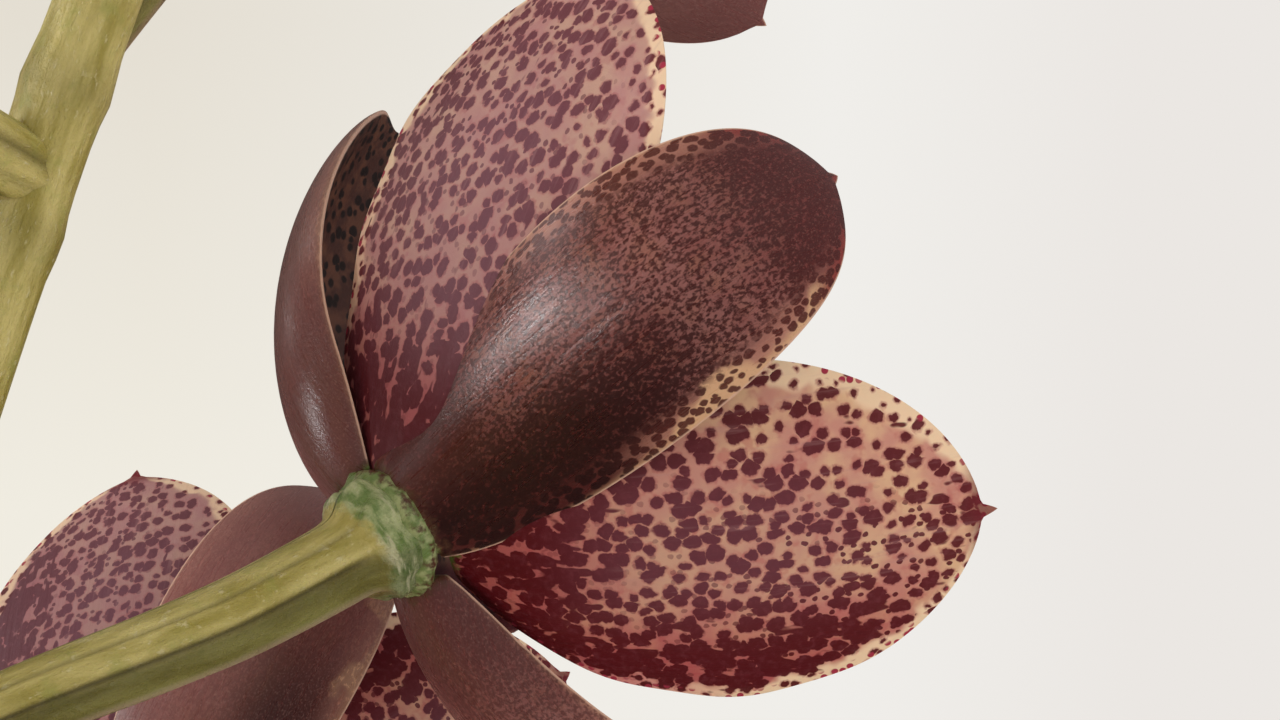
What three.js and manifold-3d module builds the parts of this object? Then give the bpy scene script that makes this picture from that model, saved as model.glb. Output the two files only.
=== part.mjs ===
// A potted orchid in flower: a clay pot of bark, a clump of pseudobulbs with their roots, pleated
// leaves, and one arching flower stem of cupped, fleshy blooms with a few buds at its end.
// Lengths are in millimetres and angles in degrees. +Z is up, +X is the side to which the flower
// stem leans, and the origin is the middle of the pot's underside.
import * as THREE from 'three';
import { mergeVertices } from 'three/addons/utils/BufferGeometryUtils.js';
import Module from 'manifold-3d';

const wasm = await Module();
wasm.setup();

const { Vector2, Vector3, Matrix4 } = THREE;
const AXIS = new Vector3(0, 0, 1);
const rad = THREE.MathUtils.degToRad;

// Driving dimensions
const GAP = 0.3; // left between two pieces that touch
const POT = {
  height: 120,
  baseRadius: 46,
  topRadius: 60.5,
  wall: 5,
  floor: 6,
  rimHeight: 22,
  rimProud: 4,
  sides: 28,
  drains: 4,
  drainRadius: 5,
  drainCircle: 26,
};
const BARK = { top: 104, chips: 25, chipLength: 21, chipWidth: 14, chipHeight: 8 };
const BULBS = [
  { x: -2, y: 0, lean: 0, towards: 0, radius: 18, height: 142, neck: 6.5 },
  { x: -36, y: 8, lean: 7, towards: 170, radius: 15, height: 112, neck: 4 },
  { x: -24, y: -31, lean: 9, towards: 235, radius: 14, height: 98, neck: 3.5 },
  { x: -14, y: 35, lean: 9, towards: 105, radius: 13.5, height: 90, neck: 3.5 },
];
const BULB_FOOT = 90; // height of the bulbs' lower ends, sunk in the bark
const LEAF = { length: 225, half: 27, thick: 0.9, pleat: 1.5, ribs: 4 };
const STEM = {
  path: [
    [19, 3, 84],
    [23.5, 3, 108],
    [36, 1, 165],
    [56, -2, 215],
    [70, -3, 260],
    [78.5, -3, 290],
    [95.5, -1, 341],
    [110, 1, 376],
    [124, 3, 402],
  ],
  rootRadius: 4.4,
  tipRadius: 1.7,
};
const SEPAL_THICK = 1.5;
const PETAL_THICK = 1.3;
const RECEPTACLE = { radius: 4.4, half: 1.2 };

// Random numbers from a seed, the same each time
function seeded(seed) {
  let state = seed;
  return () => {
    state = (state + 0x6d2b79f5) | 0;
    let t = Math.imul(state ^ (state >>> 15), 1 | state);
    t = (t + Math.imul(t ^ (t >>> 7), 61 | t)) ^ t;
    return ((t ^ (t >>> 14)) >>> 0) / 4294967296;
  };
}

// Solids and geometries
function solidOf(positions, triangles) {
  const p = positions;
  let volume = 0;
  for (const [a, b, c] of triangles) volume += p[a].dot(p[b].clone().cross(p[c]));
  const outward = volume < 0 ? triangles.map(([a, b, c]) => [a, c, b]) : triangles;
  return new wasm.Manifold(
    new wasm.Mesh({
      numProp: 3,
      vertProperties: new Float32Array(positions.flatMap((v) => v.toArray())),
      triVerts: new Uint32Array(outward.flat()),
    }),
  );
}

function solidOfGeometry(geometry, matrix = new Matrix4()) {
  const bare = geometry.index ? geometry.toNonIndexed() : geometry.clone();
  bare.deleteAttribute('normal');
  bare.deleteAttribute('uv');
  const merged = mergeVertices(bare.applyMatrix4(matrix), 1e-3);
  return new wasm.Manifold(
    new wasm.Mesh({
      numProp: 3,
      vertProperties: merged.attributes.position.array,
      triVerts: new Uint32Array(merged.index.array),
    }),
  );
}

function geometryOf(solid) {
  const { vertProperties, triVerts } = solid.getMesh();
  const geometry = new THREE.BufferGeometry();
  geometry.setAttribute('position', new THREE.BufferAttribute(vertProperties, 3));
  geometry.setIndex(new THREE.BufferAttribute(triVerts, 1));
  const flat = geometry.toNonIndexed();
  flat.computeVertexNormals();
  return flat;
}

const joined = (solids) => solids.reduce((whole, next) => whole.add(next));

// A skin over rings of points, all of the same count, closed by one point at each end. The second
// half of each ring takes its diagonals the other way, so that a blade's two faces split alike.
function skin(rings, start, end) {
  const count = rings[0].length;
  const positions = [...rings.flat(), start, end];
  const first = positions.length - 2;
  const last = positions.length - 1;
  const triangles = [];
  for (let i = 0; i + 1 < rings.length; i++) {
    for (let j = 0; j < count; j++) {
      const a = i * count + j;
      const b = i * count + ((j + 1) % count);
      const c = a + count;
      const d = b + count;
      if (j < count / 2) triangles.push([a, b, d], [a, d, c]);
      else triangles.push([a, b, c], [b, d, c]);
    }
  }
  const top = (rings.length - 1) * count;
  for (let j = 0; j < count; j++) {
    const k = (j + 1) % count;
    triangles.push([first, k, j], [last, top + j, top + k]);
  }
  return solidOf(positions, triangles);
}

const middleOf = (ring) =>
  ring.reduce((sum, v) => sum.add(v), new Vector3()).multiplyScalar(1 / ring.length);

// A round tube along a curve, with its radius given at each place along it
function tube(curve, radiusAt, steps, sides) {
  const { normals, binormals } = curve.computeFrenetFrames(steps, false);
  const rings = [];
  for (let i = 0; i <= steps; i++) {
    const at = curve.getPointAt(i / steps);
    const radius = radiusAt(i / steps);
    const ring = [];
    for (let j = 0; j < sides; j++) {
      const turn = (2 * Math.PI * j) / sides;
      ring.push(
        at
          .clone()
          .addScaledVector(normals[i], radius * Math.cos(turn))
          .addScaledVector(binormals[i], radius * Math.sin(turn)),
      );
    }
    rings.push(ring);
  }
  return skin(rings, middleOf(rings[0]), middleOf(rings[steps]));
}

// Blades: sepals, petals, lips, bracts and leaves.
// The midrib starts at the distance `start` from the axis, `turn` round it from +Y, and leaves the
// axis by an opening angle that passes through the three values of `open` on its way. The width
// follows s^a (1 - s)^b, the section is an arc that turns by `cup` to each side, and `roll` and
// `bend` twist the blade and swing it round the axis by its tip. The thickness is laid on the
// inner face, and runs out to nothing at the edges.
const STEPS = 40;

function midrib(blade) {
  const [near, middle, far] = blade.open.map(rad);
  const at = new Vector3(0, 0, 0);
  const root = new Vector3(-Math.sin(rad(blade.turn)), Math.cos(rad(blade.turn)), 0);
  at.addScaledVector(root, blade.start);
  const stations = [];
  let before = null;
  for (let k = 0; k <= STEPS; k++) {
    const s = k / STEPS;
    const opening =
      near * (1 - s) * (1 - 2 * s) + 4 * middle * s * (1 - s) + far * s * (2 * s - 1);
    const turn = rad(blade.turn + (blade.bend ?? 0) * s);
    const out = new Vector3(-Math.sin(turn), Math.cos(turn), 0);
    const along = AXIS.clone()
      .multiplyScalar(Math.cos(opening))
      .addScaledVector(out, Math.sin(opening));
    const face = AXIS.clone()
      .multiplyScalar(Math.sin(opening))
      .addScaledVector(out, -Math.cos(opening));
    const side = along.clone().cross(face);
    const roll = rad(blade.roll ?? 0) * s;
    if (before) at.addScaledVector(before.add(along), blade.length / (2 * STEPS));
    before = along.clone();
    const lifted = at.clone();
    lifted.z += (blade.rise ?? 0) * (1 - s) * (1 - s);
    stations.push({
      s,
      at: lifted,
      along,
      side: side.clone().multiplyScalar(Math.cos(roll)).addScaledVector(face, Math.sin(roll)),
      face: face.clone().multiplyScalar(Math.cos(roll)).addScaledVector(side, -Math.sin(roll)),
    });
  }
  return stations;
}

function halfWidth(blade, s) {
  const [a, b] = blade.swell;
  const place = 0.05 + 0.95 * s;
  const widest = a / (a + b);
  return blade.half * (place / widest) ** a * (Math.max(1 - place, 0) / (1 - widest)) ** b;
}

function bladeSolid(blade) {
  const stations = midrib(blade);
  const rings = blade.rows.map((row) => {
    const { s, at, side, face } = stations[row];
    const half = halfWidth(blade, s);
    const cup = blade.cupAt ? blade.cupAt(s, half) : rad(blade.cup) * (1 - blade.flatten * s * s);
    const place = (v, inwards) => {
      const radius = half / cup;
      const normal = face
        .clone()
        .multiplyScalar(Math.cos(cup * v))
        .addScaledVector(side, -Math.sin(cup * v));
      const lift = inwards ? blade.thick * Math.sqrt(Math.max(1 - v * v, 0)) : 0;
      const fold = blade.foldAt ? blade.foldAt(s, v) : 0;
      return at
        .clone()
        .addScaledVector(side, radius * Math.sin(cup * v))
        .addScaledVector(face, radius * (1 - Math.cos(cup * v)))
        .addScaledVector(normal, lift + fold);
    };
    const front = blade.across.map((v) => place(v, true));
    const back = blade.across.slice(1, -1).reverse().map((v) => place(v, false));
    return [...front, ...back];
  });
  const tip = stations[STEPS];
  const point = tip.at.clone().addScaledVector(tip.along, blade.point ?? 0);
  return skin(rings, middleOf(rings[0]), point);
}

// Places along and across a blade, fine and plain
const FINE = {
  rows: [0, 4, 10, 17, 24, 31, 36, 39],
  across: [1, 0.81, 0.31, -0.31, -0.81, -1],
};
const PLAIN = { rows: [0, 9, 20, 31, 38], across: [1, 0.55, -0.55, -1] };

// The blooms' sepals and petals, in a frame whose +Z is the way the bloom faces and whose +Y is
// towards its upper sepal
const SEPAL = { start: 3.2, rise: -0.5, thick: SEPAL_THICK, flatten: 0.45 };
const PETAL = { start: 3.2, rise: 0.6, thick: PETAL_THICK, flatten: 0.45 };

// The largest bloom, the one whose back shows best, with each segment to its own form
const LEADING_TEPALS = [
  {
    ...SEPAL, turn: -3.3, bend: 12, roll: 1.3, open: [54.7, 64.6, -26.4],
    length: 37.5, half: 8.5, swell: [0.42, 0.4], cup: 50, point: 1.2,
  },
  {
    ...PETAL, turn: -39.2, bend: -7.8, roll: 4.4, open: [69.7, 48.4, 30.8],
    length: 36.3, half: 11.9, swell: [0.9, 0.6], cup: 21.8, point: 1,
  },
  {
    ...PETAL, turn: 48.2, bend: 1.6, roll: 9.2, open: [69.4, 41.5, 33.7],
    length: 35.2, half: 11.9, swell: [0.68, 0.56], cup: 23.5, point: 1,
  },
  {
    ...SEPAL, turn: -106.4, bend: 2.1, roll: 40.7, open: [97.2, 40.7, 22.8],
    length: 37.9, half: 8.5, swell: [0.61, 0.5], cup: 56.2, flatten: -0.48,
  },
  {
    ...SEPAL, turn: 120.4, bend: -1.7, roll: 14.4, open: [95.1, 54.7, 24.2],
    length: 37.8, half: 7.9, swell: [0.46, 0.43], cup: 71.3, point: 1,
  },
];

// The other blooms' segments: one above, two petals and two lower sepals, each a little different
function commonTepals(random) {
  const vary = (value, spread) => value + spread * (2 * random() - 1);
  const opened = (angles) => angles.map((angle) => vary(angle, 4));
  const upper = {
    ...SEPAL, turn: vary(0, 4), bend: vary(0, 6), roll: vary(0, 4), open: opened([58, 60, -10]),
    length: vary(36, 1.2), half: 8.4, swell: [0.45, 0.42], cup: 48, point: 1,
  };
  const sides = [-1, 1].flatMap((hand) => [
    {
      ...PETAL, turn: hand * vary(43, 3), bend: hand * vary(-3, 4), roll: hand * vary(6, 4),
      open: opened([70, 45, 32]), length: vary(35.5, 1.2), half: 11.6, swell: [0.75, 0.58],
      cup: 22, point: 1,
    },
    {
      ...SEPAL, turn: hand * vary(114, 4), bend: hand * vary(2, 4), roll: hand * vary(18, 8),
      open: opened([94, 50, 24]), length: vary(37, 1.2), half: 8, swell: [0.5, 0.45], cup: 60,
      point: 1,
    },
  ]);
  return [upper, ...sides];
}

function tepalsSolid(tepals, detail) {
  const { radius, half } = RECEPTACLE;
  const profile = [
    [0, -half],
    [radius * 0.9, -half],
    [radius, 0],
    [radius * 0.8, half],
    [0, half],
  ];
  const disc = new THREE.LatheGeometry(profile.map(([r, z]) => new Vector2(r, z)), 8);
  const upright = new Matrix4().makeRotationX(Math.PI / 2);
  const solids = tepals.map((tepal) => bladeSolid({ ...tepal, ...detail }));
  return joined([solidOfGeometry(disc, upright), ...solids]);
}

// The lip: a thick blade below the column, narrow at its foot, its sides rolled back
const LIP = {
  turn: 180, start: 3.8, open: [42, 26, 78], length: 24, half: 9, swell: [1.1, 0.5],
  cup: -62, flatten: 0.2, thick: 2, point: 1.2,
  rows: [0, 9, 18, 26, 33, 38], across: [1, 0.7, 0, -0.7, -1],
};
const LIP_RISE = RECEPTACLE.half + GAP;

// The column: a stout club above the lip, bowed towards it, with its cap and beak
const COLUMN_PATH = [
  [0, 0.8, RECEPTACLE.half + GAP],
  [0, 0.8, RECEPTACLE.half + 2],
  [0, 1.4, 7],
  [0, 1.0, 12],
  [0, -0.8, 16],
];
const COLUMN_RADII = [1.9, 2, 2.2, 2.6, 2.9, 2.7, 1.2];

function columnSolid() {
  const curve = new THREE.CatmullRomCurve3(COLUMN_PATH.map((p) => new Vector3(...p)));
  const steps = COLUMN_RADII.length - 1;
  return tube(curve, (t) => COLUMN_RADII[Math.round(t * steps)], steps, 6);
}

// The flower stem's course, and where each bloom sits on it. A bloom is given by the height at
// which its stalk leaves the stem, the place of its foot, the way it faces and the way its upper
// sepal points; most are worked out from a direction round the stem.
const stemCurve = new THREE.CatmullRomCurve3(STEM.path.map((p) => new Vector3(...p)));
const STALK_LENGTH = 36;

function stemAt(height) {
  let low = 0;
  let high = 1;
  while (high - low > 1e-4) {
    const middle = (low + high) / 2;
    if (stemCurve.getPointAt(middle).z < height) low = middle;
    else high = middle;
  }
  return low;
}

function bloomRound(height, direction, rise = 22, tilt = 18) {
  const from = stemCurve.getPointAt(stemAt(height));
  const out = new Vector3(Math.cos(rad(direction)), Math.sin(rad(direction)), 0);
  const foot = from
    .clone()
    .addScaledVector(out, STALK_LENGTH * Math.cos(rad(rise)))
    .addScaledVector(AXIS, STALK_LENGTH * Math.sin(rad(rise)));
  const faces = out.clone().multiplyScalar(Math.cos(rad(tilt)));
  faces.addScaledVector(AXIS, Math.sin(rad(tilt)));
  return { height, foot: foot.toArray(), faces: faces.toArray(), upper: [0, 0, 1] };
}

const LEADING = {
  height: 290,
  foot: [107, 16, 303],
  faces: [0.696, 0.605, 0.386],
  upper: [0.414, -0.778, 0.473],
};
// Its stalk, as places from its foot
const LEADING_STALK = [
  [-28.5, -19, -13],
  [-19.5, -14.8, -8.8],
  [-12.2, -10, -6.1],
  [-7.6, -6, -4.2],
  [-2.4, -2, -1.45],
];
const BLOOMS = [
  bloomRound(212, 340),
  bloomRound(226, 40, 12),
  bloomRound(244, 264),
  { height: 250, foot: [87.5, 29, 276], faces: [0.15, 0.98, 0.1], upper: [0.38, -0.2, 0.9] },
  bloomRound(273, 192),
  LEADING,
  bloomRound(307, 142),
  bloomRound(324, 246),
  { height: 332, foot: [105.5, 23, 356.5], faces: [0.35, 0.9, 0.25], upper: [0.38, -0.2, 0.9] },
  bloomRound(359, 178),
];
const BUDS = [
  { height: 374, direction: 300, length: 17, radius: 5.6, stalk: 15 },
  { height: 386, direction: 60, length: 14, radius: 4.8, stalk: 12 },
  { height: 396, direction: 190, length: 11, radius: 3.8, stalk: 9 },
];

// A frame with +Z along `faces` and +Y as near to `upper` as it can be
function frameOf({ foot, faces, upper }) {
  const z = new Vector3(...faces).normalize();
  const y = new Vector3(...upper);
  y.addScaledVector(z, -y.dot(z)).normalize();
  return new Matrix4().makeBasis(y.clone().cross(z), y, z).setPosition(new Vector3(...foot));
}

// Each stalk swells into the ovary and a collar under the bloom
const COLLAR_RADIUS = 3.9;

function stalkRadius(t) {
  const slender = 2.1 + 0.6 * t;
  const collar = Math.exp(-(((t - 1) / 0.06) ** 2));
  return slender + (COLLAR_RADIUS - slender) * collar;
}

function stalkSolid(bloom) {
  const end = new Vector3(0, 0, -RECEPTACLE.half - GAP).applyMatrix4(frameOf(bloom));
  const foot = new Vector3(...bloom.foot);
  const faces = new Vector3(...bloom.faces).normalize();
  let places;
  if (bloom === LEADING) {
    places = LEADING_STALK.map((p) => new Vector3(...p).add(foot));
  } else {
    const from = stemCurve.getPointAt(stemAt(bloom.height));
    const before = foot.clone().addScaledVector(faces, -11);
    places = [from, from.clone().lerp(before, 0.55).add(new Vector3(0, 0, -1.5)), before];
  }
  const curve = new THREE.CatmullRomCurve3([...places, end]);
  return tube(curve, stalkRadius, 8, 6);
}

function bractSolid(height, direction) {
  const along = stemAt(height);
  const at = stemCurve.getPointAt(along);
  const bract = {
    turn: direction - 90, start: STEM.tipRadius, open: [20, 40, 50], length: 11, half: 2.6,
    swell: [0.4, 0.8], cup: 50, flatten: 0.3, thick: 0.9, rows: [0, 14, 28, 37],
    across: [1, 0, -1],
  };
  return bladeSolid(bract).translate(at.toArray());
}

function budFrame(bud) {
  const from = stemCurve.getPointAt(stemAt(bud.height));
  const out = new Vector3(Math.cos(rad(bud.direction)), Math.sin(rad(bud.direction)), 0.75);
  out.normalize();
  const foot = from.clone().addScaledVector(out, bud.stalk);
  return { from, out, foot };
}

const directionOf = ({ foot, height }) => {
  const from = stemCurve.getPointAt(stemAt(height));
  return THREE.MathUtils.radToDeg(Math.atan2(foot[1] - from.y, foot[0] - from.x));
};

function flowerStemSolid() {
  const slim = (t) => STEM.rootRadius + (STEM.tipRadius - STEM.rootRadius) * t;
  const solids = [tube(stemCurve, slim, 18, 7)];
  for (const bloom of BLOOMS) {
    solids.push(stalkSolid(bloom), bractSolid(bloom.height - 3, directionOf(bloom)));
  }
  for (const bud of BUDS) {
    const { from, foot, out } = budFrame(bud);
    const end = foot.clone().addScaledVector(out, -GAP);
    const curve = new THREE.LineCurve3(from, end);
    solids.push(tube(curve, (t) => 1.2 + 0.5 * t, 2, 6));
  }
  return joined(solids);
}

function budSolid(bud) {
  const { foot, out } = budFrame(bud);
  const profile = [];
  const steps = 6;
  for (let i = 0; i <= steps; i++) {
    const t = i / steps;
    profile.push(new Vector2(bud.radius * Math.sin(Math.PI * t) ** 0.7, bud.length * t));
  }
  profile[0].x = 0;
  profile[steps].x = 0;
  const turned = new THREE.Quaternion().setFromUnitVectors(new Vector3(0, 1, 0), out);
  const matrix = new Matrix4().makeRotationFromQuaternion(turned).setPosition(foot);
  return solidOfGeometry(new THREE.LatheGeometry(profile, 8), matrix);
}

// Pseudobulbs: spindles with a groove at each old leaf joint, on one short rhizome in the bark.
// With `grow` above 0 they are that much larger, for the hole that they stand in.
const BULB_STEPS = 10;
const BULB_SIDES = 9;

function bulbRadius(bulb, t) {
  const spindle = Math.sin(Math.PI * (0.16 + 0.84 * t)) ** 0.9;
  const joint = t > 0.12 && t < 0.9 ? 0.05 * Math.abs(Math.sin(Math.PI * 5 * t)) : 0.04;
  return bulb.neck + (bulb.radius - bulb.neck) * spindle * (0.95 + joint) ** 2;
}

function bulbMatrix(bulb) {
  const aside = new Vector3(-Math.sin(rad(bulb.towards)), Math.cos(rad(bulb.towards)), 0);
  return new Matrix4()
    .makeRotationAxis(aside, rad(bulb.lean))
    .setPosition(bulb.x, bulb.y, BULB_FOOT);
}

function bulbSolid(bulb, grow) {
  const profile = [new Vector2(0, -grow)];
  for (let i = 0; i <= BULB_STEPS; i++) {
    const t = i / BULB_STEPS;
    const foot = i === 0 ? 0.75 : 1;
    profile.push(new Vector2(bulbRadius(bulb, t) * foot + grow, bulb.height * t - (i ? 0 : grow)));
  }
  profile.push(new Vector2(0, bulb.height + 5 + grow));
  const upright = new Matrix4().makeRotationX(Math.PI / 2);
  const matrix = bulbMatrix(bulb).multiply(upright);
  return solidOfGeometry(new THREE.LatheGeometry(profile, BULB_SIDES), matrix);
}

const RHIZOME_RADIUS = 5;

function pseudobulbsSolid(grow = 0) {
  const solids = BULBS.map((bulb) => bulbSolid(bulb, grow));
  const lead = BULBS[0];
  for (const bulb of BULBS.slice(1)) {
    const from = new Vector3(lead.x, lead.y, BULB_FOOT + 6);
    const to = new Vector3(bulb.x, bulb.y, BULB_FOOT + 6);
    solids.push(tube(new THREE.LineCurve3(from, to), () => RHIZOME_RADIUS + grow, 1, 8));
  }
  return joined(solids);
}

// Leaves: pleated blades in two ranks, each clasping the neck of the leading bulb at its foot
const LEAVES = [
  { height: 184, direction: 96, open: [14, 62, 128], length: 0.86, half: 0.84 },
  { height: 194, direction: -84, open: [12, 56, 122], length: 0.94, half: 0.92 },
  { height: 204, direction: 112, open: [11, 48, 108], length: 1, half: 1 },
  { height: 212, direction: -103, open: [10, 42, 104], length: 1.02, half: 1 },
  { height: 219, direction: 84, open: [9, 35, 86], length: 0.98, half: 0.94 },
  { height: 225, direction: -118, open: [7, 26, 70], length: 0.86, half: 0.82 },
];

function leafSolid(leaf) {
  const bulb = BULBS[0];
  const neck = bulbRadius(bulb, (leaf.height - BULB_FOOT) / bulb.height) + GAP + LEAF.thick / 2;
  const places = 2 * LEAF.ribs;
  const across = [];
  for (let i = 0; i <= places; i++) across.push(1 - (2 * i) / places);
  const blade = {
    turn: leaf.direction - 90,
    start: neck + 0.2,
    open: leaf.open,
    length: LEAF.length * leaf.length,
    half: LEAF.half * leaf.half,
    swell: [0.55, 0.8],
    thick: LEAF.thick,
    roll: 0,
    bend: leaf.direction > 0 ? 4 : -4,
    cupAt: (s, half) => (half / (neck + 0.2)) * (1 - s) ** 6 * 0.8 + rad(16),
    foldAt: (s, v) => {
      const rib = Math.round((1 - v) * LEAF.ribs) % 2 ? 1 : -1;
      return rib * LEAF.pleat * Math.sin(Math.PI * Math.min(s * 1.1, 1)) ** 0.7 * (1 - v * v);
    },
    rows: [0, 2, 6, 11, 17, 23, 29, 34, 38],
    across,
    point: 3,
  };
  return bladeSolid(blade).translate([bulb.x, bulb.y, leaf.height]);
}

// Roots: pale, round, half sunk in the bark, from the bulbs' feet outwards and down
const ROOTS = [
  [[14, -14, 98], [20, -20, 106], [30, -26, 108], [41, -22, 106], [48, -14, 99], [50, -9, 90]],
  [[10, 18, 98], [16, 25, 106], [27, 30, 108], [38, 26, 106.5], [46, 20, 100], [49, 15, 90]],
  [[-46, -7, 96], [-48, -13, 105], [-47, -19, 106.5], [-44, -25, 106], [-42, -30, 100], [-38, -32, 90]],
];
const ROOT_RADIUS = 2.2;

function rootSolid(path, grow = 0) {
  const curve = new THREE.CatmullRomCurve3(path.map((p) => new Vector3(...p)));
  return tube(curve, (t) => ROOT_RADIUS * (1 - 0.25 * t) + grow, 12, 7);
}

// The pot: a tapered clay wall with a plain band round its rim and drain holes in its floor
const potRadius = (z) =>
  POT.baseRadius + ((POT.topRadius - POT.baseRadius) * z) / (POT.height - POT.rimHeight);

function potSolid() {
  const brim = POT.height - POT.rimHeight;
  const outer = POT.topRadius + POT.rimProud;
  const inner = (z) => potRadius(z) - POT.wall;
  const profile = [
    [0, 0],
    [POT.baseRadius - 1.5, 0],
    [POT.baseRadius, 1.5],
    [potRadius(brim - 2), brim - 2],
    [outer - 1, brim],
    [outer, brim + 1.5],
    [outer + 1.2, POT.height - 2],
    [outer - 0.4, POT.height],
    [inner(POT.height) + 1, POT.height],
    [inner(POT.height), POT.height - 1.5],
    [inner(POT.floor), POT.floor],
    [0, POT.floor],
  ].map(([r, z]) => new Vector2(r, z));
  const upright = new Matrix4().makeRotationX(Math.PI / 2);
  let pot = solidOfGeometry(new THREE.LatheGeometry(profile, POT.sides), upright);
  for (let i = 0; i < POT.drains; i++) {
    const turn = (2 * Math.PI * (i + 0.5)) / POT.drains;
    const drain = new THREE.CylinderGeometry(POT.drainRadius, POT.drainRadius, 4 * POT.floor, 12);
    const at = upright
      .clone()
      .setPosition(POT.drainCircle * Math.cos(turn), POT.drainCircle * Math.sin(turn), 0);
    pot = pot.subtract(solidOfGeometry(drain, at));
  }
  return pot;
}

// The bark: a filling for the pot with chips standing out of its top, and holes for all that
// grows in it
function barkSolid() {
  const random = seeded(11);
  const radiusAt = (z) => (potRadius(z) - POT.wall) * Math.cos(Math.PI / POT.sides) - GAP;
  const floor = POT.floor + GAP;
  const profile = [
    [0, floor],
    [radiusAt(floor), floor],
    [radiusAt(BARK.top - 2), BARK.top - 2],
    [radiusAt(BARK.top) - 6, BARK.top],
    [0, BARK.top],
  ].map(([r, z]) => new Vector2(r, z));
  const upright = new Matrix4().makeRotationX(Math.PI / 2);
  const solids = [solidOfGeometry(new THREE.LatheGeometry(profile, POT.sides / 2), upright)];
  const goldenTurn = Math.PI * (3 - Math.sqrt(5));
  const reach = radiusAt(BARK.top) - BARK.chipLength * 0.62;
  for (let i = 0; i < BARK.chips; i++) {
    const size = 0.75 + 0.4 * random();
    const chip = new THREE.BoxGeometry(
      BARK.chipLength * size,
      BARK.chipWidth * size,
      BARK.chipHeight * size,
    );
    const away = reach * Math.sqrt((i + 0.5) / BARK.chips);
    const tilt = new THREE.Euler(0.9 * (random() - 0.5), 0.9 * (random() - 0.5), 7 * random());
    const matrix = new Matrix4()
      .makeRotationFromEuler(tilt)
      .setPosition(
        away * Math.cos(i * goldenTurn),
        away * Math.sin(i * goldenTurn),
        BARK.top + 2 * random() - 0.5,
      );
    solids.push(solidOfGeometry(chip, matrix));
  }
  const slim = (t) => STEM.rootRadius + (STEM.tipRadius - STEM.rootRadius) * t + GAP;
  const bark = joined(solids)
    .subtract(pseudobulbsSolid(GAP))
    .subtract(tube(stemCurve, slim, 18, 7));
  const rooted = ROOTS.reduce((whole, path) => whole.subtract(rootSolid(path, GAP)), bark);
  const bodies = rooted.decompose();
  bodies.sort((a, b) => b.volume() - a.volume());
  return bodies[0];
}

// Materials
const material = (color, roughness) =>
  new THREE.MeshStandardMaterial({ color, roughness, metalness: 0 });
const clay = material(0xb5714c, 0.9);
const barkBrown = material(0x6b4a33, 0.95);
const bulbGreen = material(0x8a9a55, 0.55);
const leafGreen = material(0x5f8038, 0.5);
const rootPale = material(0xd9d6c6, 0.8);
const stemGreen = material(0x8b9440, 0.4);
const tepalMaroon = material(0x6a3236, 0.35);
const lipMaroon = material(0x5a1a24, 0.35);
const columnCream = material(0xb9a27a, 0.4);
const budBrown = material(0x6d4a34, 0.4);

const plant = new THREE.Group();

function place(name, solid, paint, parent = plant) {
  const mesh = new THREE.Mesh(geometryOf(solid), paint);
  mesh.name = name;
  parent.add(mesh);
}

place('pot', potSolid(), clay);
place('bark', barkSolid(), barkBrown);
place('pseudobulbs', pseudobulbsSolid(), bulbGreen);
ROOTS.forEach((path, i) => place(`root_${i + 1}`, rootSolid(path), rootPale));
LEAVES.forEach((leaf, i) => place(`leaf_${i + 1}`, leafSolid(leaf), leafGreen));
place('flower_stem', flowerStemSolid(), stemGreen);
BLOOMS.forEach((bloom, i) => {
  const random = seeded(100 + i);
  const leading = bloom === LEADING;
  const tepals = leading ? LEADING_TEPALS : commonTepals(random);
  const flower = new THREE.Group();
  flower.applyMatrix4(frameOf(bloom));
  place(`bloom_${i + 1}_tepals`, tepalsSolid(tepals, leading ? FINE : PLAIN), tepalMaroon, flower);
  place(`bloom_${i + 1}_lip`, bladeSolid(LIP).translate([0, 0, LIP_RISE]), lipMaroon, flower);
  place(`bloom_${i + 1}_column`, columnSolid(), columnCream, flower);
  plant.add(flower);
});
BUDS.forEach((bud, i) => place(`bud_${i + 1}`, budSolid(bud), budBrown));

export default plant;
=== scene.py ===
# %% [markdown]
# A potted orchid in flower is dressed here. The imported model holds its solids, which set every
# size and place, and each piece below is a fine surface worked out from the same few values.
# The photograph looks at one bloom from behind, so that bloom gets the most care. The rest of the
# plant is finished too, because the model is turned and looked at from all sides.

# %% Load the frame
import bpy
import numpy as np
from mathutils import Euler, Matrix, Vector


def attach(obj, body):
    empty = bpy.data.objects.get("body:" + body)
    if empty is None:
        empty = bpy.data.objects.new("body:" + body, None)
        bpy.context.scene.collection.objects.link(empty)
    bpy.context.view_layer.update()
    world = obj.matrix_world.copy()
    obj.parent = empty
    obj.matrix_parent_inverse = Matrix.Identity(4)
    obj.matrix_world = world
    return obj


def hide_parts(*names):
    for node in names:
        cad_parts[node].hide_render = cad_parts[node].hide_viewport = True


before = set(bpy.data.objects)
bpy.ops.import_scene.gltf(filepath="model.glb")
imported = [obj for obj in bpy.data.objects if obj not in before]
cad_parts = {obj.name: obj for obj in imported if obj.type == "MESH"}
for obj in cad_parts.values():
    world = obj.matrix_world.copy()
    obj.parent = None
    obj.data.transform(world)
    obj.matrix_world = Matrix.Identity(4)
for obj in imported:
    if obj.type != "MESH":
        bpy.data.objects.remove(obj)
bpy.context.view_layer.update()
print("packed nodes:", len(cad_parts))

# %% [markdown]
# The camera stands where the photographer stood, close behind the bloom and level with it. A
# level camera with a moderate lens keeps the stalk's and petals' proportions. It comes first,
# because everything else is judged through it.

# %% Camera
MM = 0.001
LOOKED_AT = np.array([107.0, 16.0, 303.0])  # the foot of the bloom in the photograph, in mm
CAMERA_FROM_FOOT = np.array([15.8, -150.0, 10.88])
LENS_LENGTH = 67.5  # mm, on a sensor as wide as the next value
SENSOR_WIDTH = 36

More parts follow.
